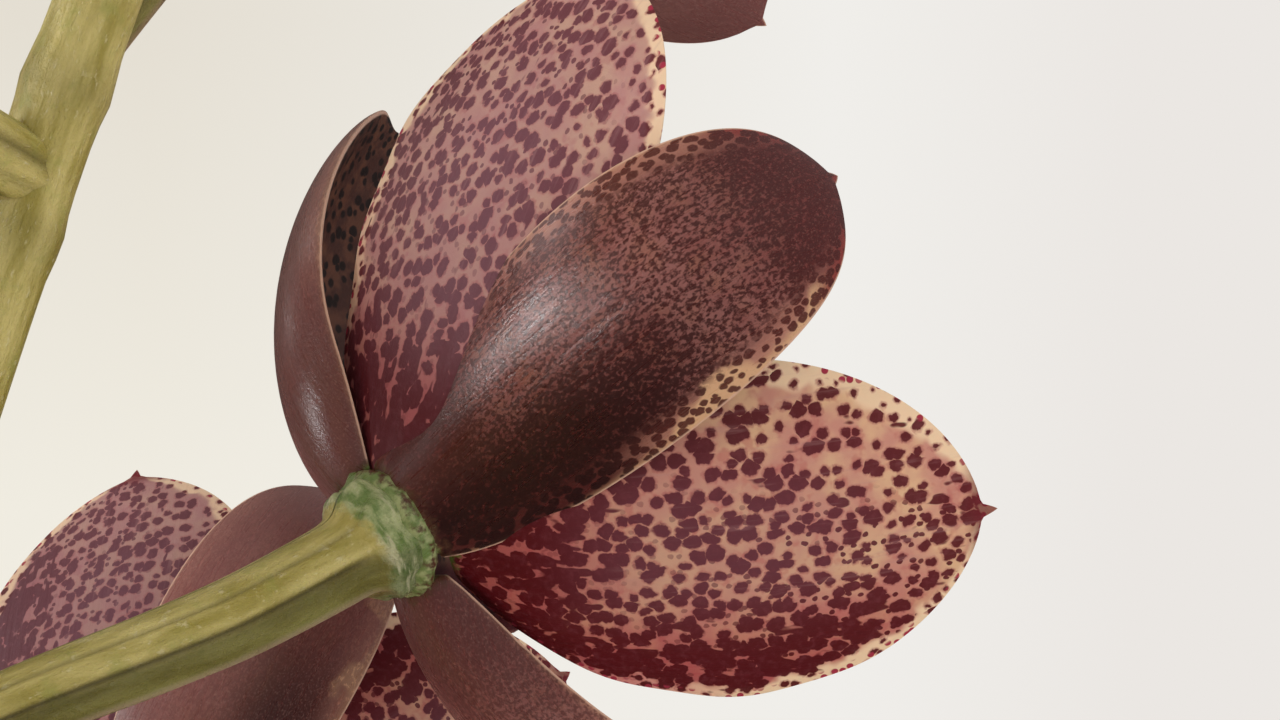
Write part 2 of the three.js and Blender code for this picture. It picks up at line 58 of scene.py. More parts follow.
camera_data = bpy.data.cameras.new("camera")
camera_data.lens = LENS_LENGTH
camera_data.sensor_width = SENSOR_WIDTH
camera_data.clip_start = 0.01
camera = bpy.data.objects.new("camera", camera_data)
camera.location = Vector((LOOKED_AT + CAMERA_FROM_FOOT) * MM)
camera.rotation_euler = Euler((np.pi / 2, 0, 0))
bpy.context.scene.collection.objects.link(camera)
bpy.context.scene.camera = camera
print("camera at", tuple(round(c, 4) for c in camera.location))

# %% [markdown]
# Every piece here is a skin over rings of points: a stalk's rings are circles, a petal's are thin
# crescents. A grid of points is easy to work out as whole arrays, and the faces between
# neighbouring rings are the same for all. The first and last rings close on a point.

# %% Skins over rings of points
def turns(around):
    """That many directions at even steps round a circle, in radians."""
    return np.linspace(0, 2 * np.pi, around, endpoint=False)


def revolved(radius, turn, height):
    """Points at this distance from an upright axis, in this direction and at this height."""
    return np.stack(np.broadcast_arrays(radius * np.cos(turn), radius * np.sin(turn), height), axis=-1)


def rolled_out(across, along, apart):
    """The mark of each point's place on its surface rolled out flat, in mm. The third number keeps
    the patterns of like pieces apart."""
    return np.stack(np.broadcast_arrays(across, along, float(apart)), axis=-1)


def spread(values, count, around):
    """A mark's values as one row for each point of a grid of rings."""
    values = np.broadcast_to(values, (count, around) + np.shape(values)[2:])
    return values.reshape((count * around,) + values.shape[2:])


def skin(rings, marks=None, finish=0):
    """Faces between neighbouring rings of an array (rings, places round, 3), with a fan from the
    middle of the first and last ring. Marks are values at each point that a material can read.
    The faces are turned round if the enclosed volume comes out negative."""
    count, around = rings.shape[:2]
    row = np.arange(count - 1)[:, None] * around
    here = np.arange(around)
    after = (here + 1) % around
    quads = np.stack(np.broadcast_arrays(
        row + here, row + after, row + around + after, row + around + here), axis=-1).reshape(-1, 4)
    first = count * around
    last = first + 1
    end = (count - 1) * around
    fans = np.concatenate([
        np.stack([np.full(around, first), after, here], axis=-1),
        np.stack([np.full(around, last), end + here, end + after], axis=-1)])
    points = np.concatenate([rings.reshape(-1, 3), rings[:1].mean(1), rings[-1:].mean(1)])
    corners = np.concatenate([quads[:, [0, 1, 2]], quads[:, [0, 2, 3]], fans])
    a, b, c = (points[corners[:, k]] for k in range(3))
    if np.einsum("ij,ij->i", a, np.cross(b, c)).sum() < 0:
        quads = quads[:, ::-1]
        fans = fans[:, ::-1]
    full = {}
    for name, values in (marks or {}).items():
        values = spread(values, count, around)
        ends = np.stack([values[:around].mean(0), values[-around:].mean(0)])
        full[name] = np.concatenate([values, ends])
    return {"points": points, "quads": quads, "fans": fans, "marks": full, "finish": finish}


def moved(part, turn, place):
    """The same part turned by a 3 by 3 matrix, whose columns are its new axes, and carried to place."""
    return {**part, "points": part["points"] @ turn.T + place}


def piece(name, parts, finishes, replaces=()):
    """One object from several parts, in the shared frame in metres, riding on the root body. A
    mark that one part has and another lacks is zero on the other."""
    shifts = np.cumsum([0] + [len(p["points"]) for p in parts])
    points = np.concatenate([p["points"] for p in parts]) * MM
    quads = [p["quads"] + shift for p, shift in zip(parts, shifts)]
    fans = [p["fans"] + shift for p, shift in zip(parts, shifts)]
    faces = [face for group in quads + fans for face in group.tolist()]
    index = [p["finish"] for p, group in zip(parts, quads) for _ in range(len(group))]
    index += [p["finish"] for p, group in zip(parts, fans) for _ in range(len(group))]
    mesh = bpy.data.meshes.new(name)
    mesh.from_pydata(points.tolist(), [], faces)
    mesh.polygons.foreach_set("material_index", index)
    mesh.polygons.foreach_set("use_smooth", np.ones(len(faces), bool))
    for mark in sorted({mark for p in parts for mark in p["marks"]}):
        values = [p["marks"].get(mark, np.zeros(len(p["points"]))) for p in parts]
        values = np.concatenate(values).astype(np.float32)
        kind, field = ("FLOAT", "value") if values.ndim == 1 else ("FLOAT_VECTOR", "vector")
        mesh.attributes.new(mark, kind, "POINT").data.foreach_set(field, values.ravel())
    for finish in finishes:
        mesh.materials.append(finish)
    obj = bpy.data.objects.new(name, mesh)
    bpy.context.scene.collection.objects.link(obj)
    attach(obj, "root")
    if replaces:
        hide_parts(*replaces)
    print(f"{name}: {len(points)} points, {len(faces)} faces")
    return obj


def ripple(points, wave, seed, waves=14):
    """A smooth random height between about -1 and 1 at each point: the sum of sine waves in random
    directions, with lengths round the given wave length."""
    random = np.random.default_rng(seed)
    ways = random.normal(size=(waves, 3))
    ways *= (random.uniform(0.6, 1.6, waves) / np.linalg.norm(ways, axis=1))[:, None]
    phase = random.uniform(0, 2 * np.pi, waves)
    return np.sin(points @ ways.T * (2 * np.pi / wave) + phase).sum(-1) / np.sqrt(waves / 2) / 1.6


# %% [markdown]
# Stems, stalks and roots are tubes along a smooth line through a few places. The line is a
# Catmull-Rom curve, which passes through all its places and doesn't overshoot when its spacing is
# uneven, and it is measured so that a share of its length can be asked for.

# %% Tubes along a course
def course(places, count):
    """Points at equal steps along a centripetal Catmull-Rom curve through the places. Each span is
    a cubic whose slopes at its ends come from its neighbours, weighted by the square root of the
    distance between them, and the line goes on straight before its first and after its last."""
    places = np.array(places, float)
    first = 2 * places[0] - places[1]
    last = 2 * places[-1] - places[-2]
    p = np.concatenate([[first], places, [last]])
    gaps = np.linalg.norm(np.diff(p, axis=0), axis=1)[:, None] ** 0.5
    p0, p1, p2, p3 = p[:-3], p[1:-2], p[2:-1], p[3:]
    d0, d1, d2 = gaps[:-2], gaps[1:-1], gaps[2:]
    leaving = d1 * ((p1 - p0) / d0 - (p2 - p0) / (d0 + d1) + (p2 - p1) / d1)
    arriving = d1 * ((p2 - p1) / d1 - (p3 - p1) / (d1 + d2) + (p3 - p2) / d2)
    t = np.linspace(0, 1, 60, endpoint=False)[None, :, None]
    square = 3 * (p2 - p1) - 2 * leaving - arriving
    cube = 2 * (p1 - p2) + leaving + arriving
    fine = (p1[:, None] + leaving[:, None] * t + square[:, None] * t ** 2 + cube[:, None] * t ** 3)
    fine = np.concatenate([fine.reshape(-1, 3), places[-1:]])
    run = np.concatenate([[0], np.cumsum(np.linalg.norm(np.diff(fine, axis=0), axis=1))])
    even = np.linspace(0, run[-1], count)
    return np.stack([np.interp(even, run, fine[:, k]) for k in range(3)], axis=-1)


def unit(vectors):
    """The vectors at length 1."""
    return vectors / np.linalg.norm(vectors, axis=-1, keepdims=True)


def tube(line, radius, around, upwards=None):
    """Rings round a line: at each point, two directions square to the line, and a circle in them
    of the given radius, which may change along the line and round it. The first direction is as
    near to `upwards` as it can be."""
    along = unit(np.gradient(line, axis=0))
    if upwards is None:
        upwards = np.eye(3)[np.abs(along).mean(0).argmin()]
    over = unit(upwards - along * (along @ upwards)[:, None])
    aside = np.cross(along, over)
    turn = turns(around)
    radius = np.broadcast_to(np.asarray(radius, float), (len(line), around))[..., None]
    spoke = over[:, None] * np.cos(turn)[:, None] + aside[:, None] * np.sin(turn)[:, None]
    return line[:, None] + spoke * radius


# %% [markdown]
# Sepals, petals, lips, bracts and leaves are all blades: a midrib that bends away from an axis,
# a width that swells and runs to a point, and a section that is part of a circle. The fleshy
# thickness is laid on the inner face, so the back keeps the outline that the camera sees.

# %% Blades
def midrib(shape, s):
    """Places along a blade's midrib at shares s of its length, with the directions to its side and
    out of its inner face. The midrib's angle from the axis runs through the three angles of `open`
    as a quadratic in s, `turn` plus `bend` times s is its direction round the axis, and `roll`
    times s turns the blade about it."""
    near, middle, far = np.radians(shape["open"])
    opening = near * (1 - s) * (1 - 2 * s) + 4 * middle * s * (1 - s) + far * s * (2 * s - 1)
    turn = np.radians(shape["turn"] + shape.get("bend", 0) * s)
    axis = np.array([0.0, 0, 1])
    out = np.stack([-np.sin(turn), np.cos(turn), 0 * turn], axis=-1)
    sine, cosine = np.sin(opening)[:, None], np.cos(opening)[:, None]
    along = axis * cosine + out * sine
    face = axis * sine - out * cosine
    side = np.cross(along, face)
    roll = (np.radians(shape.get("roll", 0)) * s)[:, None]
    side, face = side * np.cos(roll) + face * np.sin(roll), face * np.cos(roll) - side * np.sin(roll)
    steps = np.diff(s)[:, None] * shape["length"] * (along[1:] + along[:-1]) / 2
    at = out[0] * shape["start"] * [1, 1, 0] + np.concatenate([np.zeros((1, 3)), np.cumsum(steps, 0)])
    at[:, 2] += shape.get("rise", 0) * np.maximum(1 - s, 0) ** 2
    return at, side, face


def half_width(shape, s, reach):
    """Half a blade's width at shares s of its length: half times (p/m)^a ((1-p)/(1-m))^b, with
    p = 0.05 + 0.95 s and m = a/(a+b). `base` widens the blade by a bell curve near its foot, and a
    narrow spur carries the tip on as far as `reach`, in shares of the length."""
    a, b = shape["swell"]
    place = np.minimum(0.05 + 0.95 * s, 1)
    widest = a / (a + b)
    half = shape["half"] * (place / widest) ** a * ((1 - place) / (1 - widest)) ** b
    spur_length = 1.4 / shape["length"]
    spur = shape.get("spur", 0.5) * np.clip((s - 1 + spur_length) / spur_length, 0, 1)
    spur *= np.clip((reach - s) / (reach - 1), 0, 1) ** 0.8 if reach > 1 else 0
    half = half + shape.get("base", 0) * np.exp(-((s - 0.15) / 0.13) ** 2)
    return np.maximum(np.hypot(half, spur), 0.02)[:, None]


def blade(shape, rows, around, seed=0, finish=0):
    """A closed blade round its midrib, with s the share of its length. The section is an arc that
    turns by cup to each side, so its radius is the half width over cup. At its foot a blade with
    `clasp` bends nearly as a neck of that radius does. The thickness goes as the sine round the
    section. A cosine across the blade makes its pleats, and a sine along it waves its margins."""
    length = shape["length"]
    reach = 1 + shape.get("point", 0) / length
    s = reach * (1 - (1 - np.linspace(0, 1, rows)) ** 1.5)
    at, side, face = midrib(shape, s)
    half = half_width(shape, s, reach)
    if "clasp" in shape:
        cup = half / shape["clasp"] * (np.maximum(1 - s, 0) ** 6 * 0.8)[:, None] + np.radians(16)
    else:
        cup = np.radians(shape["cup"]) * (1 - shape["flatten"] * np.minimum(s, 1) ** 2)[:, None]

    round_it = turns(around)
    v = np.cos(round_it)[None, :]
    inner = np.maximum(np.sin(round_it), 0)[None, :]
    thick = shape["thick"] * np.minimum(half / shape.get("thin_below", 2.2), 1)
    lift = thick * inner
    if "pleat" in shape:
        fold = -np.cos(np.pi * (1 - v) * shape["ribs"])
        swell = np.sin(np.pi * np.minimum(1.1 * s, 1)).clip(0)[:, None] ** 0.7
        lift = lift + shape["pleat"] * fold * swell * (1 - v ** 2)
    if "wave" in shape:
        edge = np.abs(v) ** 4 * np.sin(np.pi * np.clip(s, 0, 1))[:, None]
        lift = lift + shape["wave"] * edge * np.sin(s[:, None] * 23 + seed + 2 * np.sign(v))
    radius = half / cup
    angle = cup * v
    normal = face[:, None] * np.cos(angle)[..., None] - side[:, None] * np.sin(angle)[..., None]
    rings = (
        at[:, None]
        + side[:, None] * (radius * np.sin(angle))[..., None]
        + face[:, None] * (radius * (1 - np.cos(angle)))[..., None]
        + normal * lift[..., None])

    marks = {
        "flat": rolled_out(v * half + seed * 37.1, s[:, None] * length + seed * 53.7, seed * 7.3),
        "edge": (1 - np.abs(v)) * half,
        "across": v,
        "side": v * shape.get("hand", 1),
        "plain": shape.get("plain", 0),
        "along": s[:, None],
        "inside": np.clip(inner * 6, 0, 1),
        "foot": np.hypot(rings[..., 0], rings[..., 1])}
    return skin(rings, marks, finish)


# %% [markdown]
# A material is a small network of nodes. This helper adds one node at a time and hands back its
# value, and values add and multiply as numbers do, so that a finish below reads as the list of
# what it is made of. Patterns are worked out in millimetres on the flattened blade, so that spots
# keep their real size on every petal.

# %% Helper for materials
CELL_RANDOMNESS = 0.9


def rgb(code):
    """Linear colour from a hex code of the screen."""
    screen = np.array([int(code[k:k + 2], 16) for k in (1, 3, 5)]) / 255
    linear = np.where(screen <= 0.04045, screen / 12.92, ((screen + 0.055) / 1.055) ** 2.4)
    return (*linear.tolist(), 1.0)


class Value:
    """What a node gives at each point of a skin. Sums and products of values add further nodes,
    and a vector times a triple has its three parts multiplied."""

    def __init__(self, network, socket):
        self.network = network
        self.socket = socket

    def __add__(self, other):
        return self.network.number("ADD", self, other)

    def __sub__(self, other):
        return self.network.number("SUBTRACT", self, other)

    def __mul__(self, other):
        if isinstance(other, tuple):
            return self.network.vector("MULTIPLY", self, other)
        return self.network.number("MULTIPLY", self, other)

    def __abs__(self):
        return self.network.number("ABSOLUTE", self)

    __radd__ = __add__
    __rmul__ = __mul__


class Network:
    """Nodes being wired up, for a material or for the world. Each method adds a node and returns
    what it gives."""

    def __init__(self, tree):
        self.tree = tree

    def feed(self, socket, value):
        if isinstance(value, Value):
            self.tree.links.new(value.socket, socket)
        else:
            socket.default_value = value

    def add(self, kind, inputs, output=0, **settings):
        """A new node, with its inputs fed by name or number, and the value of one output."""
        node = self.tree.nodes.new(kind)
        for key, value in settings.items():
            setattr(node, key, value)
        for key, value in inputs.items():
            self.feed(node.inputs[key], value)
        return Value(self, node.outputs[output])

    def mark(self, name):
        """The value that a skin was given at each point under this name."""
        output = "Vector" if name == "flat" else "Fac"
        return self.add("ShaderNodeAttribute", {}, output, attribute_name=name)

    def marks(self, *names):
        return [self.mark(name) for name in names]

    def place(self):
        return self.add("ShaderNodeTexCoord", {}, "Object")

    def part_of(self, vector, axis):
        """One of the vector's three parts, X, Y or Z."""
        return self.add("ShaderNodeSeparateXYZ", {0: vector}, axis)

    def vector(self, operation, a, b):
        second = "Scale" if operation == "SCALE" else 1
        return self.add("ShaderNodeVectorMath", {0: a, second: b}, operation=operation)

    def number(self, operation, a, b=0.0, clamp=False):
        return self.add("ShaderNodeMath", {0: a, 1: b}, operation=operation, use_clamp=clamp)

    def largest(self, first, *others):
        for other in others:
            first = self.number("MAXIMUM", first, other)
        return first

    def between(self, value, low, high, to_low=0.0, to_high=1.0, kind="SMOOTHSTEP"):
        """A smooth or even step from to_low where value is low to to_high where it is high."""
        inputs = dict(enumerate((value, low, high, to_low, to_high)))
        return self.add("ShaderNodeMapRange", inputs, interpolation_type=kind)

    def noise(self, vector, scale, detail=3.0, roughness=0.55, distortion=0.0, output="Fac"):
        return self.add("ShaderNodeTexNoise", {
            "Vector": vector, "Scale": scale, "Detail": detail, "Roughness": roughness,
            "Distortion": distortion}, output)

    def warped(self, vector, scale, amount):
        """The vector pushed about by noise, by up to half of amount each way."""
        push = self.noise(vector, scale, 2.0, output="Color")
        push = self.vector("SUBTRACT", push, (0.5, 0.5, 0.5))
        return self.vector("ADD", vector, self.vector("SCALE", push, amount))

    def cells(self, vector, scale, dimensions="2D"):
        """Distance from the nearest seed of a cell pattern, and a random number for each cell. The
        pattern is flat unless it is asked for in space, so that every seed lies on the surface."""
        near = self.add("ShaderNodeTexVoronoi", {
            "Vector": vector, "Scale": scale, "Randomness": CELL_RANDOMNESS}, "Distance",
            voronoi_dimensions=dimensions)
        colour = Value(self, near.socket.node.outputs["Color"])
        return near, self.add("ShaderNodeSeparateColor", {0: colour})

    def spots(self, vector, scale, largest, soft, dimensions="2D"):
        """A spot in each cell, with a random radius up to the largest and a soft margin."""
        near, size = self.cells(vector, scale, dimensions)
        return self.between(near - size * largest, soft, -soft)

    def blend(self, factor, a, b, kind="MIX"):
        """One colour over another, each a value or a hex code."""
        a, b = (rgb(c) if isinstance(c, str) else c for c in (a, b))
        return self.add("ShaderNodeMix", {0: factor, 6: a, 7: b}, 2, data_type="RGBA", blend_type=kind)

    def mix(self, factor, a, b):
        """One number over another."""
        return self.add("ShaderNodeMix", {0: factor, 2: a, 3: b})

    def bump(self, height, distance, below=None):
        """A relief of the given height in metres, laid over an earlier relief."""
        inputs = {"Distance": distance, "Height": height}
        if below is not None:
            inputs["Normal"] = below
        return self.add("ShaderNodeBump", inputs)


class Finish(Network):
    """A material being put together. Its finish is the list of what feeds its surface."""

    def __init__(self, name):
        self.material = bpy.data.materials.new(name)
        self.material.use_nodes = True
        super().__init__(self.material.node_tree)

    def finish(self, **sockets):
        shader = next(n for n in self.tree.nodes if n.type == "BSDF_PRINCIPLED")
        for key, value in sockets.items():
            name = {"colour": "Base Color", "specular": "Specular IOR Level"}.get(key)
            self.feed(shader.inputs[name or key.replace("_", " ").title()], value)
        return self.material


# %% [markdown]
# The back of a sepal is dark and waxy. A fine dark speckle lies over a brown ground, denser
# towards the foot and the tip, and thins out over a cream rim near the margin. A fine grain runs
# along it, which breaks the sheen up into streaks.

# %% Sepal finish
def sepal_finish():
    f = Finish("sepal_skin")
    flat, edge, along, across, side, plain, inside, foot = f.marks(
        "flat", "edge", "along", "across", "side", "plain", "inside", "foot")
    broad = f.noise(flat, 0.16, 3.0)
    patch = f.noise(flat, 0.55, 3.0)
    ends = f.largest(f.between(along, 0.34, 0.08), f.between(along, 0.72, 0.9))
    # Painted shade: under is the sepal's lower side, where its side mark runs negative, and there it is
    # darkened as if in shade.
    under = f.between(side, 0.25, -0.5) * f.between(along, 0.8, 0.35)
    # The speckle grows denser towards the foot and the tip, towards the margin on the other hand, and on
    # the painted-shade side.
    deep = f.largest(ends, under, f.between(side, 0.3, 0.9, 0.0, 0.55))

    pale = f.blend(f.between(broad, 0.38, 0.62), "#874b47", "#99615d")
    pale = f.blend(f.between(patch, 0.45, 0.7) * 0.35, pale, "#9c6850")
    # Painted shade: the pale and the dark colour both turn darker on the lower side.
    pale = f.blend(under, f.blend(ends, pale, "#743634"), "#55211f")
    dark = f.blend(under, f.blend(ends, "#4a1a1a", "#521f20"), "#2b0d0f")
    margin = f.between(edge, 2.8, 0.5)
    shoulder = f.between(along, 0.28, 0.5) * f.between(along, 0.95, 0.78)
    tan = margin * shoulder * f.between(side, 0.5, -0.3, 0.85, 1.0)
    pale = f.blend(tan * 0.75, pale, "#c08674")
    rim_width = f.between(f.noise(flat, 0.22, 2.0), 0.38, 0.66, 0.3, 2.2)
    rim_width *= f.between(side, 0.2, -0.8) * shoulder
    rim = f.between(edge - rim_width, 0.6, -0.5)
    pale = f.blend(rim * 0.9, pale, "#deb088")
    red_tip = f.between(along, 0.8, 0.9) * f.between(edge, 1.6, 0.2)
    pale = f.blend(red_tip, pale, "#8f3532")

    dark = f.blend(tan * 0.8, dark, "#5c1f1d")
    longer = flat * (1.0, 0.62, 1.0)
    fleck = f.noise(f.warped(longer, 1.4, 0.3), 4.4, 5.0, 0.62)
    lean = f.between(deep, 0.0, 1.0, 0.50, 0.60) + plain * 0.02
    clouded = f.between(lean - fleck, -0.06, 0.07)
    near, size = f.cells(f.warped(flat * (1.0, 0.7, 1.0), 1.6, 0.4), 1.6)
    wide = 0.24 + size * 0.24 - rim * 0.06 + deep * 0.16
    spots = f.between(near - wide, 0.07, -0.07)
    spotted = f.between(edge, 2.8, 1.2) * f.between(plain, 0.5, 0.0)
    cover = f.mix(spotted, clouded, spots) * f.between(plain, 0.0, 1.0, 0.92, 0.5)
    colour = f.blend(cover, pale, dark)
    fine = f.noise(longer, 9.0, 2.0)
    # Painted glints: pale flecks along the grain, kept off the painted-shade side.
    glints = f.between(fine, 0.56, 0.72, 0.0, 0.35) * f.between(under, 0.6, 0.0)
    colour = f.blend(glints, colour, "#9a665c")
    # Plain sepals take a greyer mauve tone, partly their own colour and partly painted light: it lies
    # fully on the lit side and hardly at all on the painted-shade side.
    plain_tone_and_light = plain * f.between(under, 0.0, 1.0, 0.55, 0.08)
    colour = f.blend(plain_tone_and_light, colour, "#8e5c5a")
    colour = f.blend(plain * f.between(fine, 0.5, 0.7, 0.0, 0.3), colour, "#a9837c")

    blots, blot_size = f.cells(f.warped(flat, 1.2, 0.3), 0.8)
    blot_width = 0.2 + blot_size * 0.2
    within = f.blend(f.between(patch, 0.4, 0.65), "#512519", "#6b3a22")
    within = f.blend(f.between(blots - blot_width, 0.08, -0.08), within, "#260d0a")
    colour = f.blend(inside, colour, within)
    line = f.between(edge + patch * 0.14, 0.26, 0.12)
    colour = f.blend(line * 0.85, colour, "#dcb29c")
    ragged = foot + f.noise(flat, 1.4, 5.0, 0.65) * 3.2
    fresh = f.blend(f.between(f.noise(flat, 1.2, 4.0), 0.38, 0.62), "#70864a", "#a8b07c")
    colour = f.blend(f.between(ragged, 6.5, 5.8, 0.0, 0.7), colour, "#5a3a28")
    colour = f.blend(f.between(ragged, 5.9, 5.2), colour, fresh)

    grain = f.noise(flat * (4.0, 0.3, 1.0), 0.9, 4.0)
    pores = f.noise(flat, 5.0, 3.0)
    rib = f.between(abs(across - 0.02), 0.07, 0.0)
    relief = f.bump(grain, 0.00003)
    relief = f.bump(rib * -1.0, 0.00002, relief)
    relief = f.bump(pores, 0.000025, relief)
    rough = f.between(grain, 0.3, 0.7, 0.25, 0.36) + inside * 0.26
    return f.finish(
        colour=colour, roughness=rough, normal=relief, specular=0.66,
        subsurface_weight=0.05, subsurface_radius=(1.0, 0.3, 0.2), subsurface_scale=0.0004)


# %% [markdown]
# A petal's back is pale, with lobed maroon spots about a millimetre across. They run together
# into crimson streaks along its lower margin and at its foot, and leave a cream rim with a row of
# small beads. A cell pattern gives one spot in each cell, and noise makes its outline uneven.

# %% Petal finish
def petal_finish():
    f = Finish("petal_skin")
    flat, edge, along, across, side, foot, inside, plain = f.marks(
        "flat", "edge", "along", "across", "side", "foot", "inside", "plain")
    patch = f.noise(flat, 0.28, 3.0)
    small_patch = f.noise(flat, 0.9, 2.0)

    # Painted sheen: the middle of the petal gets a greyer mauve ground and mauve spots, standing in for
    # the sheen that lies along it.
    middle = f.between(abs(across), 0.8, 0.1) * f.between(along, 0.95, 0.6)
    low_margin = f.between(side, 0.15, 0.8)
    footward = f.between(along, 0.42, 0.14)
    low_part = low_margin * f.between(along, 1.0, 0.7)
    crimson = f.largest(low_part, footward)
    ground = f.blend(f.between(patch, 0.36, 0.64), "#e4bb96", "#d09384")
    ground = f.blend(middle * 0.6, ground, "#c08a80")
    ground = f.blend(f.between(small_patch, 0.55, 0.7, 0.0, 0.45), ground, "#bb605e")
    ground = f.blend(crimson * 0.75, ground, "#ae3846")
    rim_width = f.between(f.noise(flat, 0.4, 2.0), 0.35, 0.65, 0.55, 1.4)
    shoulder = f.between(side, 0.1, -0.7) * f.between(along, 0.3, 0.6)
    rim_width += shoulder * 0.3
    rim = f.between(edge - rim_width, 0.5, -0.4) * f.between(along, 0.12, 0.3)
    blush = low_margin * f.between(along, 0.6, 0.3)
    ground = f.blend(rim, ground, f.blend(blush, "#f4d5b4", "#d88a86"))
    # Painted sheen: where the plain mark is set, a greyish mauve veil lies over the ground and later over
    # the spots, off the foot and the rim.
    painted_sheen_veil = plain * f.between(along, 0.1, 0.4, 0.35, 1.0)
    painted_sheen_veil *= f.between(rim, 1.0, 0.0, 0.2, 1.0)
    ground = f.blend(painted_sheen_veil * 0.5, ground, "#ae7f86")

    stretched = flat * (1.0, 0.88, 1.0)
    drift = f.warped(f.warped(stretched, 0.35, 0.6), 1.25, 0.5)
    near, size = f.cells(drift, 0.94)
    near += (f.noise(flat, 2.6, 2.0) - 0.5) * 0.3
    inwards = f.between(side, 0.1, -0.6) * f.between(along, 0.62, 0.3)
    stained = crimson * f.between(rim, 0.7, 0.2)
    wide = 0.26 + size * 0.26 + inwards * 0.12 - shoulder * 0.04 * f.between(edge, 3.0, 0.8)
    wide = wide + stained * 0.13 - rim * 0.13 - f.between(along, 0.5, 0.95, 0.0, 0.05)
    outside = near - wide
    big = f.between(outside, 0.04, -0.04)
    halo = f.between(outside, 0.16, 0.02)
    small_near, small_size = f.cells(f.warped(stretched, 1.6, 0.3), 1.7)
    chosen = f.between(small_size, 0.5, 0.55) * f.between(along, 0.3, 0.7, 0.3, 1.0)
    chosen *= f.between(rim + shoulder, 0.6, 0.1)
    small = f.between(small_near, 0.33, 0.26) * chosen
    streaks = f.noise(flat * (1.0, 0.42, 1.0), 0.75, 2.0)
    merged = f.between(streaks + stained * 0.19, 0.66, 0.7)
    cover = f.largest(big, small, merged)
    ground = f.blend(halo * 0.55, ground, "#ae5a5c")
    # The spots are mauve in the painted-sheen middle and crimson elsewhere.
    spot = f.blend(middle * 0.9, "#631b24", "#6b3543")
    spot = f.blend(crimson, spot, "#5a0513")
    tint = f.noise(flat, 2.2, 3.0)
    spot = f.blend(f.between(tint, 0.45, 0.75, 0.0, 0.35), spot, "#7c3a46")
    colour = f.blend(cover * 0.96, ground, spot)
    # The painted sheen veil washes the spots out to a greyish mauve.
    colour = f.blend(painted_sheen_veil * 0.26, colour, "#8c7280")

    bead_near, bead_size = f.cells(flat, 1.3)
    bead = f.between(bead_near, 0.34, 0.26) * f.between(edge, 0.7, 0.35)
    bead *= f.between(bead_size, 0.4, 0.45)
    colour = f.blend(bead, colour, "#a8324a")
    tip = f.between(along, 0.965, 1.0)
    colour = f.blend(tip * 0.85, colour, "#74202c")
    ragged = foot + f.noise(flat, 1.4, 5.0, 0.65) * 2.6
    colour = f.blend(f.between(ragged, 5.6, 5.0), colour, "#75823f")
    richer = f.blend(0.35, colour, "#6b1f22", "MULTIPLY")
    colour = f.blend(inside * 0.4, colour, richer)

    veins = f.noise(flat * (3.0, 0.25, 1.0), 0.7, 4.0)
    lined = f.between(veins, 0.55, 0.75, 0.0, 0.25) * f.between(crimson, 0.4, 0.0)
    colour = f.blend(lined, colour, "#b88a8c")
    pores = f.noise(flat, 5.0, 3.0)
    relief = f.bump(veins, 0.00006)
    relief = f.bump(pores, 0.000025, relief)
    rough = f.between(veins, 0.3, 0.7, 0.42, 0.54)
    return f.finish(
        colour=colour, roughness=rough, normal=relief, specular=0.18,
        subsurface_weight=0.12, subsurface_radius=(1.0, 0.35, 0.25), subsurface_scale=0.0007)


sepal_skin = sepal_finish()
petal_skin = petal_finish()

# %% [markdown]
# The photographed bloom has a form of its own for each of its five segments, fitted to its outline.
# The other nine share one form, and a small random change to each keeps them from looking
# copied. The random numbers are worked out as the solids' source does it, so both agree.

# %% The blooms' sepals and petals
SEPAL = {"start": 3.2, "rise": -0.5, "thick": 1.5, "flatten": 0.45, "point": 1, "hand": 1}
PETAL = {"start": 3.2, "rise": 0.6, "thick": 1.3, "flatten": 0.45, "point": 1, "wave": 0.12}
# plain: on a sepal, fewer spots and a greyer tone that is partly painted light; on a petal, the strength
# of a painted sheen veil.
LEADING_TEPALS = [
    {**SEPAL, "turn": -3.3, "bend": 12, "roll": 1.3, "open": [54.7, 64.6, -26.4],
     "length": 37.5, "half": 8.5, "swell": [0.42, 0.4], "cup": 50, "point": 1.2},
    {**PETAL, "turn": -39.2, "bend": -7.8, "roll": 4.4, "open": [69.7, 48.4, 30.8],
     "length": 36.3, "half": 11.9, "swell": [0.9, 0.6], "cup": 21.8, "hand": 0.4, "base": 1.3,
     "plain": 0.8},
    {**PETAL, "turn": 48.2, "bend": 1.6, "roll": 9.2, "open": [69.4, 41.5, 33.7],
     "length": 35.2, "half": 11.9, "swell": [0.68, 0.56], "cup": 23.5, "hand": -1, "rise": 2.0},
    {**SEPAL, "turn": -106.4, "bend": 2.1, "roll": 40.7, "open": [97.2, 40.7, 22.8],
     "length": 37.9, "half": 8.5, "swell": [0.61, 0.5], "cup": 56.2, "flatten": -0.48, "point": 0,
     "hand": 0.1, "plain": 1, "base": 0.5},
    {**SEPAL, "turn": 120.4, "bend": -1.7, "roll": 14.4, "open": [95.1, 54.7, 24.2],
     "length": 37.8, "half": 7.9, "swell": [0.46, 0.43], "cup": 71.3, "hand": 0.1, "plain": 0.4},
]


def seeded(seed):
    """A maker of random numbers from 0 to 1, by shifts and products of 32-bit whole numbers."""
    word = 0xFFFFFFFF
    state = seed

    def draw():
        nonlocal state
        state = (state + 0x6D2B79F5) & word
        t = ((state ^ (state >> 15)) * (1 | state)) & word
        t = ((t + ((t ^ (t >> 7)) * (61 | t))) & word) ^ t
        return ((t ^ (t >> 14)) & word) / 4294967296

    return draw


